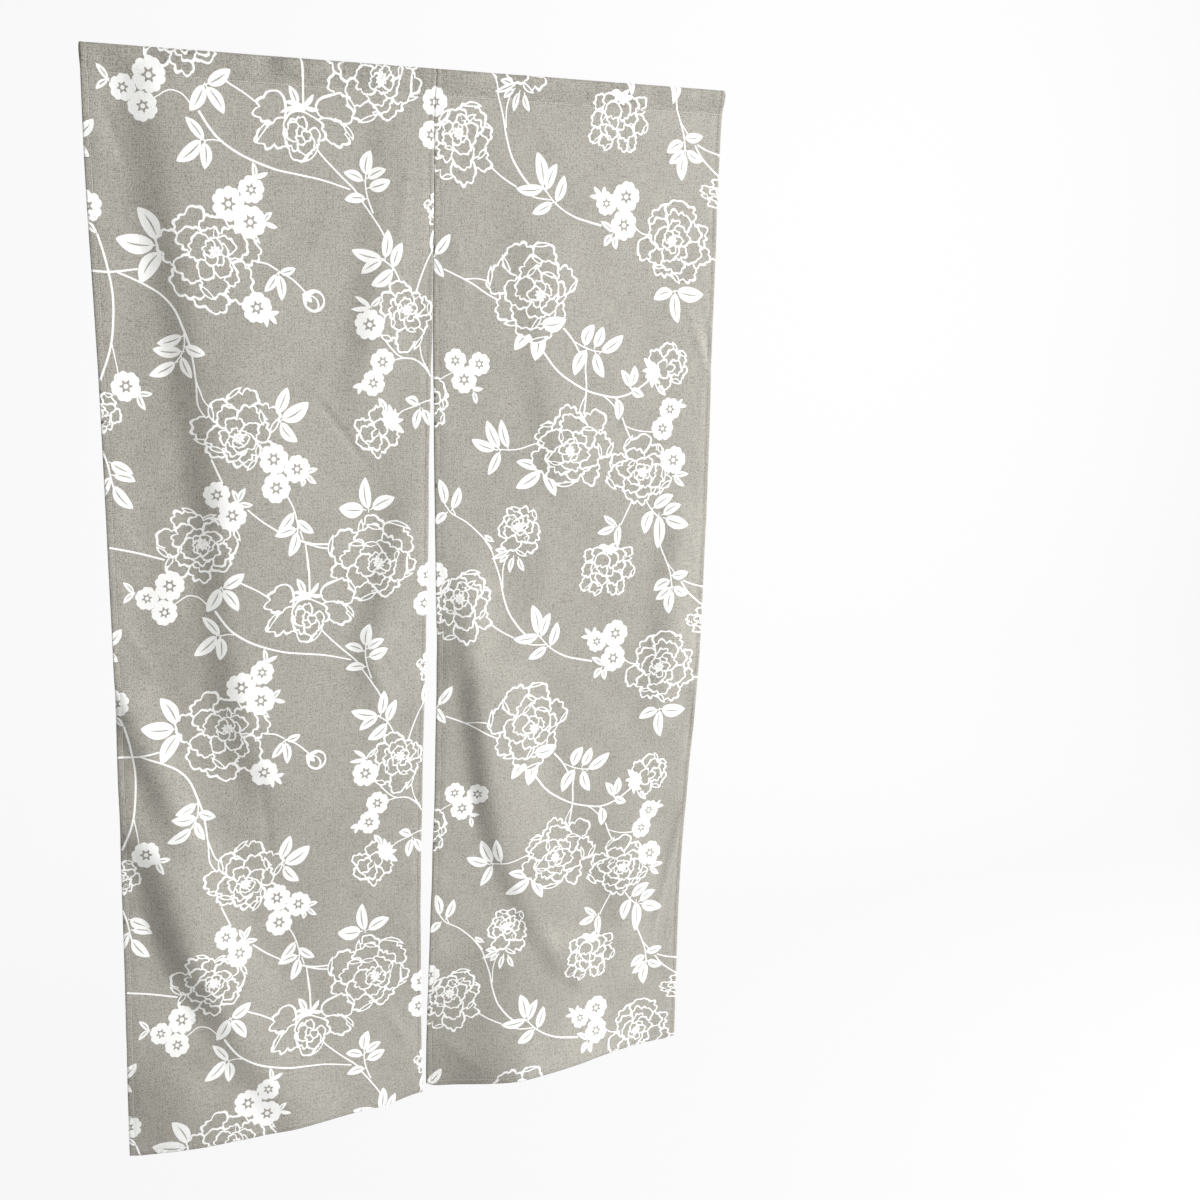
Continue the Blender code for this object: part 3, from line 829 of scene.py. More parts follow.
def lip(at, aim, long, wide, line, rng):
    """A petal's turned-over edge: a crescent inside one stretch of its outline."""
    long, wide, line = long * LIP_INSIDE, wide * LIP_INSIDE, line * LIP_LINE
    start = rng.choice(LIP_STARTS)
    share = np.linspace(0, 1, LIP_STEPS)
    turn = start + share * rng.uniform(*LIP_TURN)
    rim = np.stack([np.cos(turn) * long, np.sin(turn) * wide], 1)
    depth = rng.uniform(*LIP_DEPTH) * np.sin(share * pi) ** LIP_FULLNESS
    reach = np.hypot(rim[:, 0], rim[:, 1])
    open_part = depth > LIP_OPEN * line
    shapes = []
    for outer, inner, kept, inked in (
        (0, depth, slice(None), True),
        (line, depth - line, open_part, False),
    ):
        near = rim * (1 - outer / reach)[:, None]
        far = rim * (1 - inner / reach)[:, None]
        if inked or open_part.sum() > 2:
            ring = np.concatenate([near[kept], far[kept][::-1]])
            shapes.append(Shape(at + ring @ turned(aim), inked))
    return shapes


def petal(at, leans, long, wide, row, rng):
    """One petal of a ring or a fan, some of them with a turned lip."""
    shapes = outlined(petal_outline(at, leans, long, wide, row.lobe, rng), at, row.line)
    if rng.random() < row.lips:
        shapes += lip(at, leans, long, wide, row.line, rng)
    return shapes


def peony(flower):
    """Rings of lobed petals round a heart of stamens, the outer ones drawn first."""
    rng = Random(flower.seed)
    size = (flower.wide + flower.high) / 2
    middle = np.array([flower.x, flower.y], float)
    heart = np.array([flower.heart_x, flower.heart_y], float)
    shapes = []
    large = size > LARGE_FLOWER
    grown = size if large else size * SMALL_GROWN
    for ring in RINGS if large else RINGS[1:]:
        start = rng.uniform(0, 2 * pi)
        order = list(range(ring.petals))
        rng.shuffle(order)
        for place in order:
            aim = start + 2 * pi * (place + rng.uniform(-AIM_STRAY, AIM_STRAY)) / ring.petals
            away = grown * ring.out * rng.uniform(*OUT_STRAY)
            at = heart * ring.follows + pointing(aim) * away
            long = grown * ring.long * rng.uniform(*LONG_STRAY)
            wide = grown * ring.wide * rng.uniform(*WIDE_STRAY)
            leans = aim + rng.uniform(-LEAN_STRAY, LEAN_STRAY)
            shapes += petal(at, leans, long, wide, ring, rng)
    shapes += stamens(heart, rng)
    squash = np.array([flower.wide, flower.high]) / size
    return [Shape(middle + shape.points * squash, shape.inked) for shape in shapes]


def stamens(at, rng):
    """A ragged white burst with specks in it and round it."""
    turn = around(STAMEN_POINTS)
    spikes = np.abs(np.sin(SPIKES / 2 * turn + rng.uniform(0, 3))) ** SPIKE_SHARPNESS
    ragged = 0.75 + 0.25 * np.sin(2 * turn + rng.uniform(0, 6))
    reach = BURST * (BURST_CORE + SPIKE_REACH * spikes * ragged)
    shapes = [Shape(at + ring_of(turn, reach), True)]
    for _ in range(SPECKS):
        aim = rng.uniform(0, 2 * pi)
        place = at + pointing(aim) * BURST * rng.uniform(*SPECK_OUT)
        shapes.append(Shape(disc(place, rng.uniform(*SPECK_SIZE), SPECK_POINTS), False))
    return shapes


def disc(at, radius, count=DISC_POINTS):
    turn = around(count)
    return np.asarray(at) + ring_of(turn, radius)


def sideways(flower):
    """A flower from the side: petals fanned from its stalk's end, sepals over them."""
    rng = Random(flower.seed)
    foot = np.array([flower.x, flower.y], float)
    opens = radians(flower.opens)
    size = flower.size
    shapes = []
    for row in FANS[flower.kind]:
        for spread in row.spreads:
            aim = opens + radians(spread + rng.uniform(-FAN_AIM_STRAY, FAN_AIM_STRAY))
            away = pointing(aim) * row.out * rng.uniform(*FAN_OUT_STRAY)
            at = foot + (pointing(opens) * row.start + away) * size
            long = size * row.long
            wide = size * row.wide * rng.uniform(*FAN_WIDE_STRAY)
            leans = aim + rng.uniform(-FAN_LEAN_STRAY, FAN_LEAN_STRAY)
            shapes += petal(at, leans, long, wide, row, rng)
    for sepal in SEPALS[flower.kind]:
        aim = opens + radians(sepal.turn)
        tip = foot + pointing(aim) * size * sepal.reach
        shapes.append(Shape(leaf_outline(foot, tip, size * sepal.wide, size * SEPAL_BEND), True))
    shapes.append(Shape(disc(foot, size * FOOT_SIZE[flower.kind]), True))
    return shapes


def blossom(flower):
    """Five notched petals, solid white, with a star-shaped ring of bare cloth."""
    at = np.array([flower.x, flower.y], float)
    turn = around(BLOSSOM_POINTS)
    half = BLOSSOM_PETALS / 2 * (turn + radians(flower.turn))
    gap = (1 - np.abs(np.cos(half))) ** GAP_SHARPNESS
    notch = (1 - np.abs(np.sin(half))) ** NOTCH_SHARPNESS
    reach = flower.radius * (PETAL_REACH - GAP_DEPTH * gap - NOTCH_DEPTH * notch)
    rays = around(STAR_POINTS)
    ray = np.abs(np.cos(STAR_RAYS / 2 * rays + flower.turn)) ** RAY_SHARPNESS
    star = flower.radius * (STAR_CORE + STAR_REACH * ray)
    return [
        Shape(at + ring_of(turn, reach), True),
        Shape(at + ring_of(rays, star), False),
        Shape(disc(at, flower.radius * BLOSSOM_HEART, HEART_POINTS), True),
    ]


def leaf_outline(foot, tip, wide, bend):
    """A pointed leaf, broadest below its middle, its midrib bent to one side."""
    ahead = tip - foot
    length = hypot(*ahead)
    share = np.linspace(0, 1, max(6, int(length / LEAF_STEP)) + 1)
    half = wide * LEAF_FULLNESS * share ** LEAF_NEAR * (1 - share) ** LEAF_FAR
    rib = bend * 4 * share * (1 - share)
    near = np.stack([share * length, rib + half], 1)
    far = np.stack([share * length, rib - half], 1)[-2:0:-1]
    return foot + np.concatenate([near, far]) @ turned(atan2(ahead[1], ahead[0]))


def leaf(blade):
    """A solid white leaf with a sliver of bare cloth for its midrib."""
    foot = np.array([blade.x, blade.y], float)
    tip = np.array([blade.tip_x, blade.tip_y], float)
    rng = Random(int(blade.x * 13 + blade.y))
    bend = blade.wide * rng.uniform(*LEAF_BEND) * rng.choice((-1, 1))
    ahead = tip - foot
    tail = [tuple(foot + ahead * share) for share in TAIL_SHARES]
    shapes = stalk(Stalk(*TAIL_WIDE, tail))
    shapes.append(Shape(leaf_outline(foot, tip, blade.wide, bend), True))
    if blade.wide >= WIDE_LEAF:
        aside = np.array([-ahead[1], ahead[0]]) / hypot(*ahead) * bend
        start = foot + ahead * rng.uniform(*RIB_START) + aside * 0.5
        end = foot + ahead * rng.uniform(*RIB_END) + aside * 0.8
        shapes.append(Shape(leaf_outline(start, end, 1.0 + blade.wide * RIB_WIDE, bend * 0.5), False))
    return shapes


def eased_route(route):
    """Points along a smooth curve through a route."""
    route = [np.array(point, float) for point in route]
    points = []
    for place in range(len(route) - 1):
        a = route[max(place - 1, 0)]
        b = route[place]
        c = route[place + 1]
        d = route[min(place + 2, len(route) - 1)]
        count = max(1, int(hypot(*(c - b)) / STALK_STEP))
        for t in np.arange(count) / count:
            bend = 2 * a - 5 * b + 4 * c - d + t * (3 * b - a - 3 * c + d)
            points.append(b + 0.5 * t * (c - a + t * bend))
    return np.array(points + [route[-1]])


def stalk(line):
    """A stalk of even or tapering width along its route."""
    middle = eased_route(line.route)
    ahead = np.gradient(middle, axis=0)
    aside = np.stack([-ahead[:, 1], ahead[:, 0]], 1)
    aside /= np.hypot(aside[:, 0], aside[:, 1])[:, None]
    half = np.linspace(line.start, line.end, len(middle))[:, None] / 2
    return [Shape(np.concatenate([middle + aside * half, (middle - aside * half)[::-1]]), True)]


def bud(closed):
    """A closed bud: two wrapped petals, the near one over the far one, and a calyx."""
    at = np.array([closed.x, closed.y])
    radius = closed.radius
    opens = radians(closed.opens)
    ahead = pointing(opens)
    aside = np.array([-ahead[1], ahead[0]])
    foot = at - ahead * radius
    turn = around(BUD_POINTS)
    shapes = []
    for wrap in WRAPS:
        place = at + ahead * wrap.on + aside * wrap.aside
        reach = ellipse_reach(turn, radius * wrap.long, radius * wrap.wide)
        shapes += outlined(place + ring_of(turn, reach) @ turned(opens), place, wrap.line)
    for row in CALYX:
        tip = foot + (ahead * row.on + aside * row.aside) * radius
        shapes.append(Shape(leaf_outline(foot - ahead * 2, tip, row.wide, 0.0), True))
    shapes.append(Shape(disc(foot, radius * CALYX_FOOT), True))
    return shapes


def one_repeat(side):
    """Everything printed in one repeat of one panel, the lowest layer first."""
    layers = (
        (STALKS, Stalk, stalk),
        (LEAVES, Leaf, leaf),
        (PEONIES, Peony, peony),
        (SIDEWAYS, Sideways, sideways),
        (FRONT_LEAVES, Leaf, leaf),
        (BLOSSOMS, Blossom, blossom),
        (BUDS, Bud, bud),
    )
    shapes = []
    for table, kind, draw in layers:
        for row in table[side]:
            shapes += draw(kind(*row))
    return shapes


def sheet_shapes(side):
    """The printed shapes of the whole panel, the lowest layer first."""
    low, high = sorted(panel_span(side))
    repeat = one_repeat(side)
    for turn in range(-1, 3):
        for shape in repeat:
            points = shape.points + (0, turn * REPEAT)
            across = points[:, 0].max() > low and points[:, 0].min() < high
            if across and points[:, 1].max() > -POCKET_DROP and points[:, 1].min() < HANG_LENGTH:
                yield Shape(points, shape.inked)


def print_edges(side):
    """The edges between ink and bare cloth, as points and pairs of them."""
    low, high = sorted(panel_span(side))
    corners = [(low, -POCKET_DROP), (high, -POCKET_DROP), (high, HANG_LENGTH), (low, HANG_LENGTH)]
    points = [Vector(corner) for corner in corners]
    faces = [[0, 1, 2, 3]]
    inked = [False]
    for shape in sheet_shapes(side):
        ahead = np.roll(shape.points, -1, 0)
        turns_left = np.sum(shape.points[:, 0] * ahead[:, 1] - ahead[:, 0] * shape.points[:, 1]) > 0
        ring = list(range(len(points), len(points) + len(shape.points)))
        faces.append(ring if turns_left else ring[::-1])
        inked.append(shape.inked)
        points += [Vector(point) for point in shape.points.tolist()]
    cut = delaunay_2d_cdt(points, [], faces, 1, CUT_NEAR, True)
    on_panel = [0 in above for above in cut[5]]
    triangles = np.array([face for face, kept in zip(cut[2], on_panel) if kept])
    ink = np.array([inked[max(above)] for above, kept in zip(cut[5], on_panel) if kept])
    sides = np.sort(triangle_sides(triangles), 1)
    edges, place = np.unique(sides, axis=0, return_inverse=True)
    beside = np.bincount(place.reshape(-1), np.ones(len(sides)))
    with_ink = np.bincount(place.reshape(-1), np.tile(ink, 3))
    return np.array([tuple(point) for point in cut[0]]), edges[(beside == 2) & (with_ink == 1)]


def triangle_sides(triangles):
    """The three sides of every triangle, each from one corner to the next."""
    return np.concatenate([triangles[:, [0, 1]], triangles[:, [1, 2]], triangles[:, [2, 0]]])


def lattice(side):
    """Places that carry the folds, nearer together round the rod pocket."""
    low, high = sorted(panel_span(side))
    inner = np.linspace(low + HEM_WIDTH, high - HEM_WIDTH, int((high - low) / LATTICE))
    columns = [low + inset for inset in HEM_INSETS] + list(inner) + [high - inset for inset in HEM_INSETS]
    pocket = np.arange(-POCKET_DROP, POCKET_DROP, POCKET_ROWS)
    hung = np.linspace(POCKET_DROP, HANG_LENGTH - HEM_WIDTH, int(HANG_LENGTH / LATTICE))
    hem = [HANG_LENGTH - inset for inset in HEM_INSETS]
    rows = np.concatenate([pocket, hung, hem])
    return [(x, run) for run in rows for x in columns] + crease_places(side)


def crease_places(side):
    """Places along the narrow creases and across them, inside the hems."""
    places = []
    for crease in (Crease(*row) for row in CREASES[side]):
        if crease.wide < LATTICE:
            start = np.array([crease.x, crease.drop], float)
            way = np.array([crease.to_x, crease.to_drop]) - start
            aside = np.array([way[1], -way[0]]) / hypot(*way) * crease.wide
            for share in np.linspace(0, 1, int(hypot(*way) / CREASE_STEP) + 1):
                places += [tuple(start + way * share + aside * off) for off in CREASE_OFFSETS]
    hung, drop = np.array(places).T
    outer, slit = panel_span(side)
    hung_outer, hung_slit = upright_edges(EDGES, side, drop)
    x = outer + (hung - hung_outer) / (hung_slit - hung_outer) * (slit - outer)
    edge = HEM_WIDTH + CREASE_CLEAR
    kept = (x > min(outer, slit) + edge) & (x < max(outer, slit) - edge)
    kept &= (drop > POCKET_DROP + CREASE_CLEAR) & (drop < HANG_LENGTH - edge)
    return list(zip(x[kept].tolist(), drop[kept].tolist()))


def hem_lines(side):
    """The panel's outline and the two edges of its turned hem, as lines on the flat."""
    low, high = sorted(panel_span(side))
    lines = []
    for inside in (0.0, HEM_WIDTH - HEM_STEP, HEM_WIDTH):
        left, right, bottom = low + inside, high - inside, HANG_LENGTH - inside
        lines += [(left, -POCKET_DROP, left, bottom), (right, -POCKET_DROP, right, bottom),
                  (left, bottom, right, bottom)]
    return lines + [(low, run, high, run) for run in (-POCKET_DROP, POCKET_DROP)]


def cut_sheet(side):
    """Flat points, triangles and each triangle's ink."""
    found, edges = print_edges(side)
    used, renumbered = np.unique(edges, return_inverse=True)
    points = found[used].tolist()
    pairs = renumbered.reshape(-1, 2).tolist()
    ink_edges = len(pairs)
    for ax, ay, bx, by in hem_lines(side):
        pairs.append((len(points), len(points) + 1))
        points += [(ax, ay), (bx, by)]
    points += lattice(side)
    cut = delaunay_2d_cdt([Vector(point) for point in points], pairs, [], 0, CUT_NEAR, True)
    borders = set()
    for edge, origin in zip(cut[1], cut[4]):
        if any(number < ink_edges for number in origin):
            borders.add(tuple(sorted(edge)))
    triangles = np.array(cut[2])[:, ::-1]
    return np.array([tuple(point) for point in cut[0]]), triangles, spread_ink(cut[2], borders, cut[0])


def spread_ink(triangles, borders, points):
    """Walks from triangle to triangle and changes between cloth and ink at each border."""
    beside = {}
    for number, (a, b, c) in enumerate(triangles):
        for edge in ((a, b), (b, c), (c, a)):
            beside.setdefault(tuple(sorted(edge)), []).append(number)
    ink = np.full(len(triangles), -1)
    ink[0] = 0
    waiting = deque([0])
    while waiting:
        here = waiting.popleft()
        a, b, c = triangles[here]
        for edge in ((a, b), (b, c), (c, a)):
            edge = tuple(sorted(edge))
            for there in beside[edge]:
                if ink[there] < 0:
                    ink[there] = 1 - ink[here] if edge in borders else ink[here]
                    waiting.append(there)
    corners = np.array([[points[i][:] for i in triangle] for triangle in triangles])
    sides = corners[:, 1:] - corners[:, :1]
    areas = np.abs(sides[:, 0, 0] * sides[:, 1, 1] - sides[:, 0, 1] * sides[:, 1, 0])
    return 1 - ink if areas[ink == 1].sum() > areas[ink == 0].sum() else ink


def placed(name, data):
    """An object made of its data and put in the scene."""
    thing = bpy.data.objects.new(name, data)
    bpy.context.collection.objects.link(thing)
    return thing


def make_cloth(side):
    """One panel's cloth: its printed face, its inside and the edge between them."""
    flat, triangles, ink = cut_sheet(side)
    x, run = flat[:, 0], flat[:, 1]
    front = cloth_surface(side, x, run, 1)
    inside = cloth_surface(side, x, run, -1)
    count = len(flat)
    rim = outline_pairs(triangles)
    a, b = rim[:, 0], rim[:, 1]
    edging = np.concatenate([np.stack([b, a, a + count], 1), np.stack([b, a + count, b + count], 1)])
    faces = np.concatenate([triangles, triangles[:, ::-1] + count, edging])
    mesh = bpy.data.meshes.new("cloth_" + side)
    mesh.from_pydata((np.concatenate([front, inside]) * MM).tolist(), [], faces.tolist())
    mesh.shade_smooth()
    kinds = [len(triangles), len(triangles), len(edging)]
    middle_x, middle_run = x[triangles].mean(1), run[triangles].mean(1)
    in_hem = edge_distance(side, middle_x, middle_run) < HEM_WIDTH - HEM_STEP / 2
    # Painted shade: the hems, the rod pocket and the edging are marked here so that the material paints
    # them darker, for light from behind that shows through single cloth but not through two layers.
    doubled_shade = np.where(in_hem | (np.abs(middle_run) < POCKET_DROP), 1.0, 0.0)
    give_values(mesh, "ink", np.concatenate([ink, ink, np.zeros(len(edging))]))
    give_values(mesh, "inside", np.repeat([0.0, 1.0, 0.0], kinds))
    give_values(mesh, "doubled_shade", np.concatenate([doubled_shade, doubled_shade, np.ones(len(edging))]))
    give_places(mesh, side, flat, faces, len(triangles))
    return placed("cloth_" + side, mesh)


def stitch_lines(side):
    """The stitched lines of one panel: from one flat place to another, and the faces of
    the cloth on which they show."""
    low, high = sorted(panel_span(side))
    left, right, bottom = low + STITCH_INSET, high - STITCH_INSET, HANG_LENGTH - STITCH_INSET
    hem = [((left, STITCH_RUN), (left, bottom)), ((right, STITCH_RUN), (right, bottom)),
           ((left, bottom), (right, bottom))]
    lines = [(start, end, facing) for start, end in hem for facing in (1, -1)]
    for run in (STITCH_RUN, -STITCH_RUN):
        lines.append(((low + 1, run), (high - 1, run), 1))
    return lines


def line_of_stitches(side, start, end, facing):
    """Rings of points for the stitches of one line: an end, two rounds of four, an end."""
    start, end = np.array(start), np.array(end)
    length = hypot(*(end - start))
    ahead = (end - start) / length
    first = np.arange(STITCH_PITCH / 2, length - STITCH_PITCH, STITCH_PITCH)
    rounds = []
    for part, radius in zip(STITCH_PARTS, (0.0, THREAD_RADIUS, THREAD_RADIUS, 0.0)):
        flat = start + ahead * (first + part * STITCH_LONG)[:, None]
        x, run = flat[:, 0], flat[:, 1]
        middle = cloth_surface(side, x, run, facing)
        outer, slit = panel_span(side)
        out = cloth_front(side, (x - outer) / (slit - outer), run) * facing
        onward = cloth_surface(side, x + ahead[0] * 0.5, run + ahead[1] * 0.5, facing) - middle
        aside = np.cross(out, onward)
        aside /= np.linalg.norm(aside, axis=1)[:, None]
        if radius:
            middle = middle + out * radius * THREAD_RISE
            rounds += [middle + way * radius for way in (out, aside, -out, -aside)]
        else:
            rounds.append(middle - out * THREAD_DIP)
    return np.stack(rounds, 1)


def make_stitches(side):
    """All the visible stitches of one panel in one piece."""
    stitches = np.concatenate([line_of_stitches(side, *line) for line in stitch_lines(side)])
    count, corners = stitches.shape[:2]
    faces = []
    for place in range(4):
        beside = (place + 1) % 4
        faces += [(0, 1 + place, 1 + beside), (1 + place, 5 + place, 5 + beside),
                  (1 + place, 5 + beside, 1 + beside), (9, 5 + beside, 5 + place)]
    faces = (np.arange(count)[:, None, None] * corners + np.array(faces)).reshape(-1, 3)
    mesh = bpy.data.meshes.new("stitches_" + side)
    mesh.from_pydata((stitches.reshape(-1, 3) * MM).tolist(), [], faces.tolist())
    mesh.shade_smooth()
    number, corner = np.divmod(faces.reshape(-1), corners)
    columns = int(count ** 0.5) + 1
    around_thread = np.array([0.5] + [0.2, 0.4, 0.6, 0.8] * 2 + [0.5])
    along_thread = np.array([0.1] + [0.3] * 4 + [0.7] * 4 + [0.9])
    across = (number % columns + along_thread[corner]) / columns
    down = (number // columns + around_thread[corner]) / columns
    baked = mesh.uv_layers.new(name="OFBake")
    baked.data.foreach_set("uv", np.stack([across, down], 1).astype(np.float32).reshape(-1))
    return placed("stitches_" + side, mesh)


def outline_pairs(triangles):
    """The edges that only one triangle has, in that triangle's order."""
    ends = triangle_sides(triangles)
    _, first, count = np.unique(np.sort(ends, 1), axis=0, return_index=True, return_counts=True)
    return ends[first[count == 1]]


def give_values(mesh, name, values):
    """A number for each face of a mesh."""
    layer = mesh.attributes.new(name, "FLOAT", "FACE")
    layer.data.foreach_set("value", np.asarray(values, np.float32))


def give_places(mesh, side, flat, faces, printed):
    """Two maps: where the weave lies, in metres, and where each face is baked."""
    low, high = sorted(panel_span(side))
    count = len(flat)
    corners = faces.reshape(-1)
    places = flat[corners % count]
    behind = corners >= count
    edging = np.arange(len(corners)) >= printed * 6
    middle = np.array([(low + high) / 2, (HANG_LENGTH - POCKET_DROP) / 2])
    outward = np.sign(places - middle) * EDGE_ROUND
    shifted = places + outward * (edging & behind)[:, None]
    weave = mesh.uv_layers.new(name="weave")
    weave.data.foreach_set("uv", (shifted * MM).astype(np.float32).reshape(-1))
    share = (shifted - (low, -POCKET_DROP)) / (high - low, HANG_LENGTH + POCKET_DROP)
    across = share[:, 0] * BAKED_WIDE + BAKED_LEFT + 0.5 * (behind & ~edging)
    down = BAKED_TOP - share[:, 1] * BAKED_HIGH
    baked = mesh.uv_layers.new(name="OFBake")
    baked.data.foreach_set("uv", np.stack([across, down], 1).astype(np.float32).reshape(-1))


class Link:
    """An output of a shader node. Sums on it add Math nodes."""

    def __init__(self, paint, socket):
        self.paint = paint
        self.socket = socket

    def sum_of(self, operation, first, second):
        return self.paint.node("Math", {"operation": operation}, {0: first, 1: second})

    def __add__(self, other):
        return self.sum_of("ADD", self, other)

    def __sub__(self, other):
        return self.sum_of("SUBTRACT", self, other)

    def __rsub__(self, other):
        return self.sum_of("SUBTRACT", other, self)

    def __mul__(self, other):
        return self.sum_of("MULTIPLY", self, other)

    __radd__ = __add__
    __rmul__ = __mul__

    def at_most(self, other):
        return self.sum_of("MINIMUM", self, other)

    def at_least(self, other):
        return self.sum_of("MAXIMUM", self, other)

    def wave(self):
        return self.sum_of("SINE", self, 0)


class Paint:
    """A material and the nodes that shade it."""

    def __init__(self, name):
        self.material = bpy.data.materials.new(name)
        self.material.use_nodes = True
        self.tree = self.material.node_tree
        self.shader = self.tree.nodes["Principled BSDF"]

    def node(self, kind, settings=None, sockets=None, output=0):
        """Any shader node: its settings first, then the values or links of its sockets."""
        made = self.tree.nodes.new("ShaderNode" + kind)
        for name, value in (settings or {}).items():
            setattr(made, name, value)
        for name, value in (sockets or {}).items():
            self.plug(made.inputs[name], value)
        return Link(self, made.outputs[output])

    def plug(self, socket, value):
        if isinstance(value, Link):
            self.tree.links.new(value.socket, socket)
        else:
            socket.default_value = value

    def mix(self, factor, low, high):
        """A blend of two colours."""
        return self.node("Mix", {"data_type": "RGBA"}, {0: factor, 6: low, 7: high}, 2)

    def noise(self, place, scale, detail=2.0, roughness=0.5):
        sockets = {"Vector": place, "Scale": scale, "Detail": detail, "Roughness": roughness}
        return self.node("TexNoise", {}, sockets)

    def stretched(self, place, across, down):
        """The weave's place with its two directions at different scales."""
        scale = (across, down, 1.0)
        return self.node("VectorMath", {"operation": "MULTIPLY"}, {0: place, 1: scale})

    def both_ways(self, place, scales):
        """The sum of two noises, one for the yarns of each way."""
        one, other = (self.noise(self.stretched(place, *scale), 1.0, 1.0) for scale in scales)
        return one + other

    def bump(self, height, strength, distance):
        sockets = {"Strength": strength, "Distance": distance, "Height": height}
        self.plug(self.shader.inputs["Normal"], self.node("Bump", {}, sockets))

    def set(self, **values):
        """Plain values on the shader's own sockets, named by them with low lines."""
        for name, value in values.items():
            self.shader.inputs[name.replace("_", " ")].default_value = value


GROUND = (0.413, 0.396, 0.352, 1.0)
GROUND_DARK = (0.174, 0.165, 0.145, 1.0)
INK = (0.93, 0.93, 0.915, 1.0)
THREAD = (0.86, 0.85, 0.81, 1.0)
THREAD_DARK = (0.66, 0.645, 0.60, 1.0)

# The weave: how far apart the yarns lie in metres, and its unevenness, as turns of
# noise per metre across and down the cloth, for the yarns of each way
YARN_PITCH = 0.00085
FINE_NOISE = ((260.0, 1050.0), (1150.0, 240.0))
SLUB_NOISE = ((45.0, 560.0), (520.0, 38.0))
GRAIN_NOISE = 900.0
CLOUD_NOISE = 16.0

# How much each adds to the yarns' unevenness, and what that does to the tone
FINE_SHARE = 2.1
SLUB_SHARE = 0.9
GRAIN_SHARE = 2.4
LIGHTNESS = 0.83
THREAD_TONE = 0.96
CLOUD_TONE = 0.20
# Painted shade on doubled cloth: how much darker the hems, the rod pocket and the edging are painted, for
# light from behind that shows through single cloth only.
DOUBLED_PAINTED_SHADE = 0.14

# The ink: how well it covers, and the share that doesn't come through to the inside
INK_COVER = 0.97
INK_TONE = 0.10
INK_HELD_BACK = 0.72

# Relief of the cloth and of the sewing thread
YARN_RISE = 0.35
THREAD_RELIEF = 1.1
CLOTH_RELIEF = 0.0004
TWIST_RELIEF = 0.0001
THREAD_NOISE = 700.0
TWIST_NOISE = 4200.0

# The camera as fitted to the curtain's four corners in the photograph, in metres
CAMERA_SENSOR = 36.0
CAMERA_LENS = 37.62
CAMERA_SHIFT = 0.16583
CAMERA_PLACE = (-0.6365, -1.6298, -0.3259)
CAMERA_RIGHT = Vector((0.93924, -0.34325, 0.00306))
CAMERA_UP = Vector((0.07099, 0.20295, 0.97661))
CAMERA_AHEAD = Vector((0.33584, 0.91706, -0.21498))

# A lamp far to the right, and a soft fill from all round
KEY_COLOUR = (0.99, 0.99, 1.0)
KEY_PLACE = (5.1, -2.6, 0.9)
KEY_AIM = (0.0, 0.0, -0.75)
KEY_SIZE = 1.0
KEY_POWER = 630
FILL_COLOUR = (1.0, 0.99, 0.95, 1.0)
FILL_STRENGTH = 0.303

# The paper sweep: its front edge, the middle of its bend (y and z), and its top
SWEEP_FRONT = -4.0
SWEEP_BEND = (2.2, -1.8)
SWEEP_RADIUS = 0.8
SWEEP_STEPS = 8
SWEEP_TOP = 3.0
SWEEP_HALF = 6.0
SWEEP_GREY = (0.10, 0.10, 0.10, 1.0)
SWEEP_LIGHT = (1.0, 1.0, 1.0, 1.0)
SWEEP_GLOW = 0.83


def cloth_material():
    """Plain-woven linen-look cloth with white ink printed on it."""
    paint = Paint("printed_cloth")
    place = paint.node("UVMap", {"uv_map": "weave"})
    ink = paint.node("Attribute", {"attribute_name": "ink"}, {}, 2)
    inside = paint.node("Attribute", {"attribute_name": "inside"}, {}, 2)
    doubled_shade = paint.node("Attribute", {"attribute_name": "doubled_shade"}, {}, 2)
    fine = paint.both_ways(place, FINE_NOISE)
    slubs = paint.both_ways(place, SLUB_NOISE)
    grain = paint.noise(place, GRAIN_NOISE, 1.0)
    clouds = paint.noise(place, CLOUD_NOISE, 3.0)
    threads = (fine - 1) * FINE_SHARE + (slubs - 1) * SLUB_SHARE + (grain - 0.5) * GRAIN_SHARE
    # The doubled cloth's term is painted shade, for the light that shows through single cloth only; the
    # threads and clouds are the cloth's own tone.
    light = LIGHTNESS + threads * THREAD_TONE + (clouds - 0.5) * CLOUD_TONE - doubled_shade * DOUBLED_PAINTED_SHADE
    ground = paint.mix(light.at_least(0.0), GROUND_DARK, GROUND)
    cover = ink * (1 - inside * INK_HELD_BACK) * (INK_COVER + threads * INK_TONE)
    paint.plug(paint.shader.inputs["Base Color"], paint.mix(cover.at_most(1.0), ground, INK))
    paint.plug(paint.shader.inputs["Roughness"], 0.9 - ink * 0.06 + threads * 0.05)
    x, y = (paint.node("SeparateXYZ", {}, {0: place}, i) for i in (0, 1))
    turn = 2 * pi / YARN_PITCH
    yarns = (x * turn).wave() * (y * turn).wave()
    paint.bump(yarns * YARN_RISE + threads * THREAD_RELIEF, 0.35, CLOTH_RELIEF)
    paint.set(Specular_IOR_Level=0.25, Sheen_Weight=0.12, Sheen_Roughness=0.5)
    return paint.material


def thread_material():
    """Pale twisted sewing thread."""
    paint = Paint("sewing_thread")
    place = paint.node("TexCoord", {}, {}, 3)
    tone = paint.noise(place, THREAD_NOISE, 2.0)
    twist = paint.noise(paint.stretched(place, TWIST_NOISE, 1.0), 1.0, 0.0)
    paint.plug(paint.shader.inputs["Base Color"], paint.mix(tone, THREAD_DARK, THREAD))
    paint.plug(paint.shader.inputs["Roughness"], 0.6 + tone * 0.2)
    paint.bump(twist, 0.3, TWIST_RELIEF)
    return paint.material


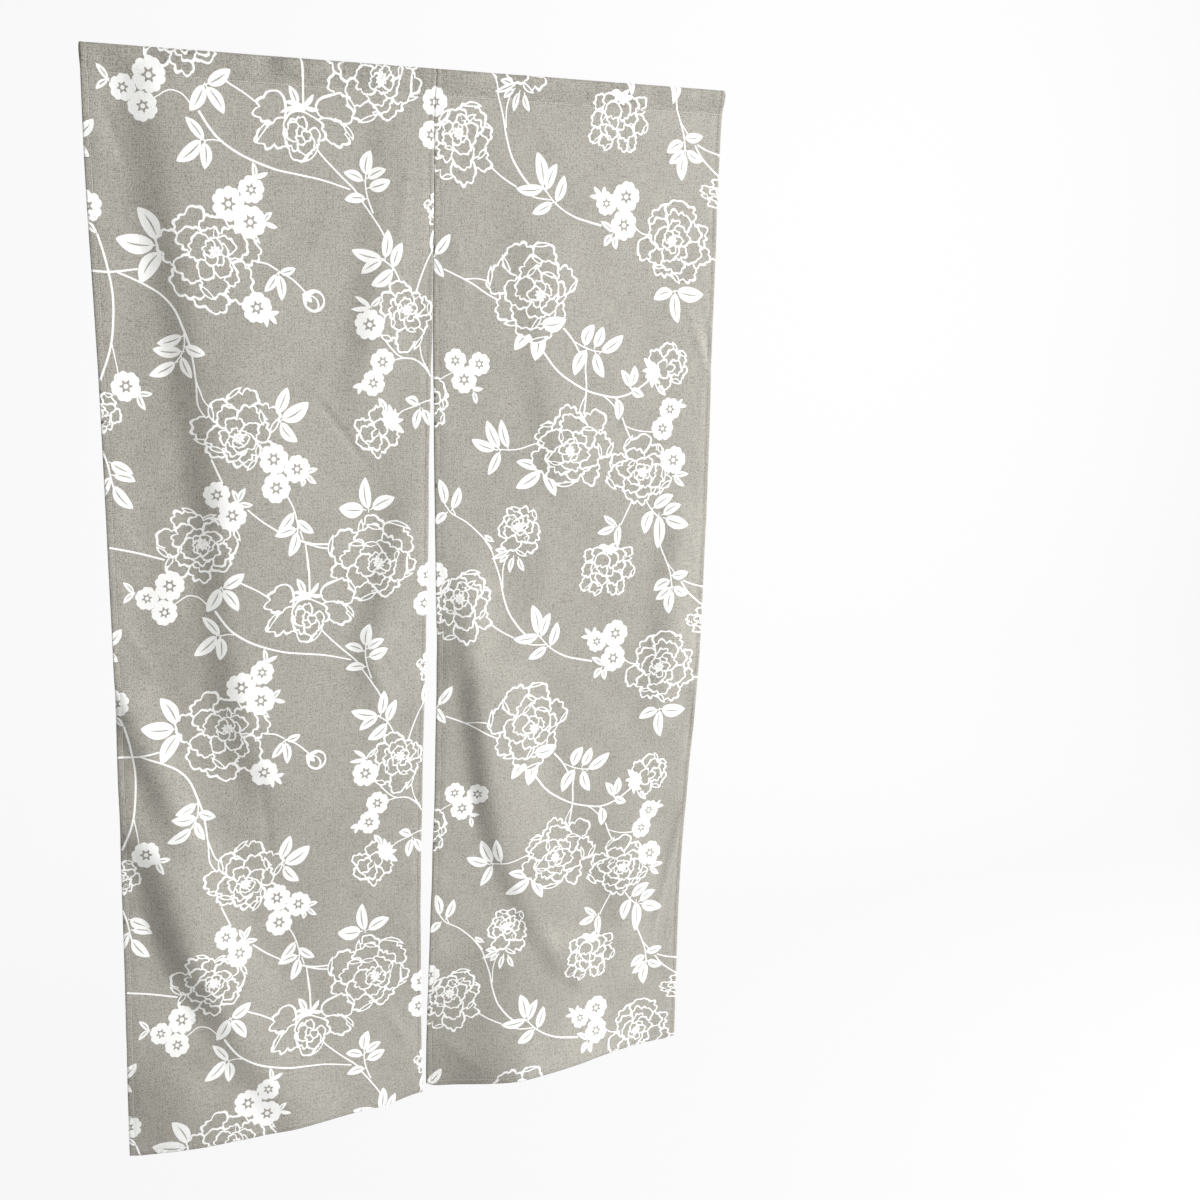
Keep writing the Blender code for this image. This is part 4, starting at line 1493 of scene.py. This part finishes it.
def sweep_material():
    """Pale paper that mostly glows by itself, so that no shadow shows on it."""
    paint = Paint("pale_sweep")
    paint.set(Base_Color=SWEEP_GREY, Roughness=1.0, Specular_IOR_Level=0.0)
    paint.set(Emission_Color=SWEEP_LIGHT, Emission_Strength=SWEEP_GLOW)
    return paint.material


def make_camera():
    data = bpy.data.cameras.new("camera")
    data.sensor_width = CAMERA_SENSOR
    data.lens = CAMERA_LENS
    data.shift_x = CAMERA_SHIFT
    camera = placed("camera", data)
    turn = Matrix((CAMERA_RIGHT, CAMERA_UP, -CAMERA_AHEAD)).transposed()
    camera.matrix_world = Matrix.Translation(CAMERA_PLACE) @ turn.to_4x4()
    bpy.context.scene.camera = camera


def make_key():
    data = bpy.data.lights.new("key", "AREA")
    data.size = KEY_SIZE
    data.energy = KEY_POWER
    data.color = KEY_COLOUR
    lamp = placed("key", data)
    lamp.location = KEY_PLACE
    lamp.rotation_euler = (Vector(KEY_AIM) - Vector(KEY_PLACE)).to_track_quat("-Z", "Y").to_euler()


def make_studio():
    sweep = bpy.data.meshes.new("sweep")
    y, z = SWEEP_BEND
    rows = [(SWEEP_FRONT, z - SWEEP_RADIUS), (y, z - SWEEP_RADIUS)]
    for turn in np.linspace(0, pi / 2, SWEEP_STEPS + 1)[1:]:
        rows.append((y + SWEEP_RADIUS * sin(turn), z - SWEEP_RADIUS * cos(turn)))
    rows.append((y + SWEEP_RADIUS, SWEEP_TOP))
    points = [(x, y, z) for y, z in rows for x in (-SWEEP_HALF, SWEEP_HALF)]
    faces = [(i, i + 1, i + 3, i + 2) for i in range(0, 2 * len(rows) - 2, 2)]
    sweep.from_pydata(points, [], faces)
    sweep.shade_smooth()
    sweep.materials.append(sweep_material())
    placed("sweep", sweep)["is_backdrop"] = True
    world = bpy.data.worlds.new("studio")
    world.use_nodes = True
    world.node_tree.nodes["Background"].inputs["Color"].default_value = FILL_COLOUR
    world.node_tree.nodes["Background"].inputs["Strength"].default_value = FILL_STRENGTH
    bpy.context.scene.world = world
    make_key()
    bpy.context.scene.view_settings.view_transform = "Standard"


def main():
    make_camera()
    material = cloth_material()
    thread = thread_material()
    for side in ("left", "right"):
        stitching = make_stitches(side)
        stitching.data.materials.append(thread)
        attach(stitching, "root")
        cloth = make_cloth(side)
        cloth.data.materials.append(material)
        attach(cloth, "root")
        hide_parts("heading_" + side, "panel_" + side)
        width = (panel_width(side) + 2 * TURNED_IN) * MM
    make_studio()


main()

[[list(corner) for corner in box] for box in (CAD_BOX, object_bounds())]
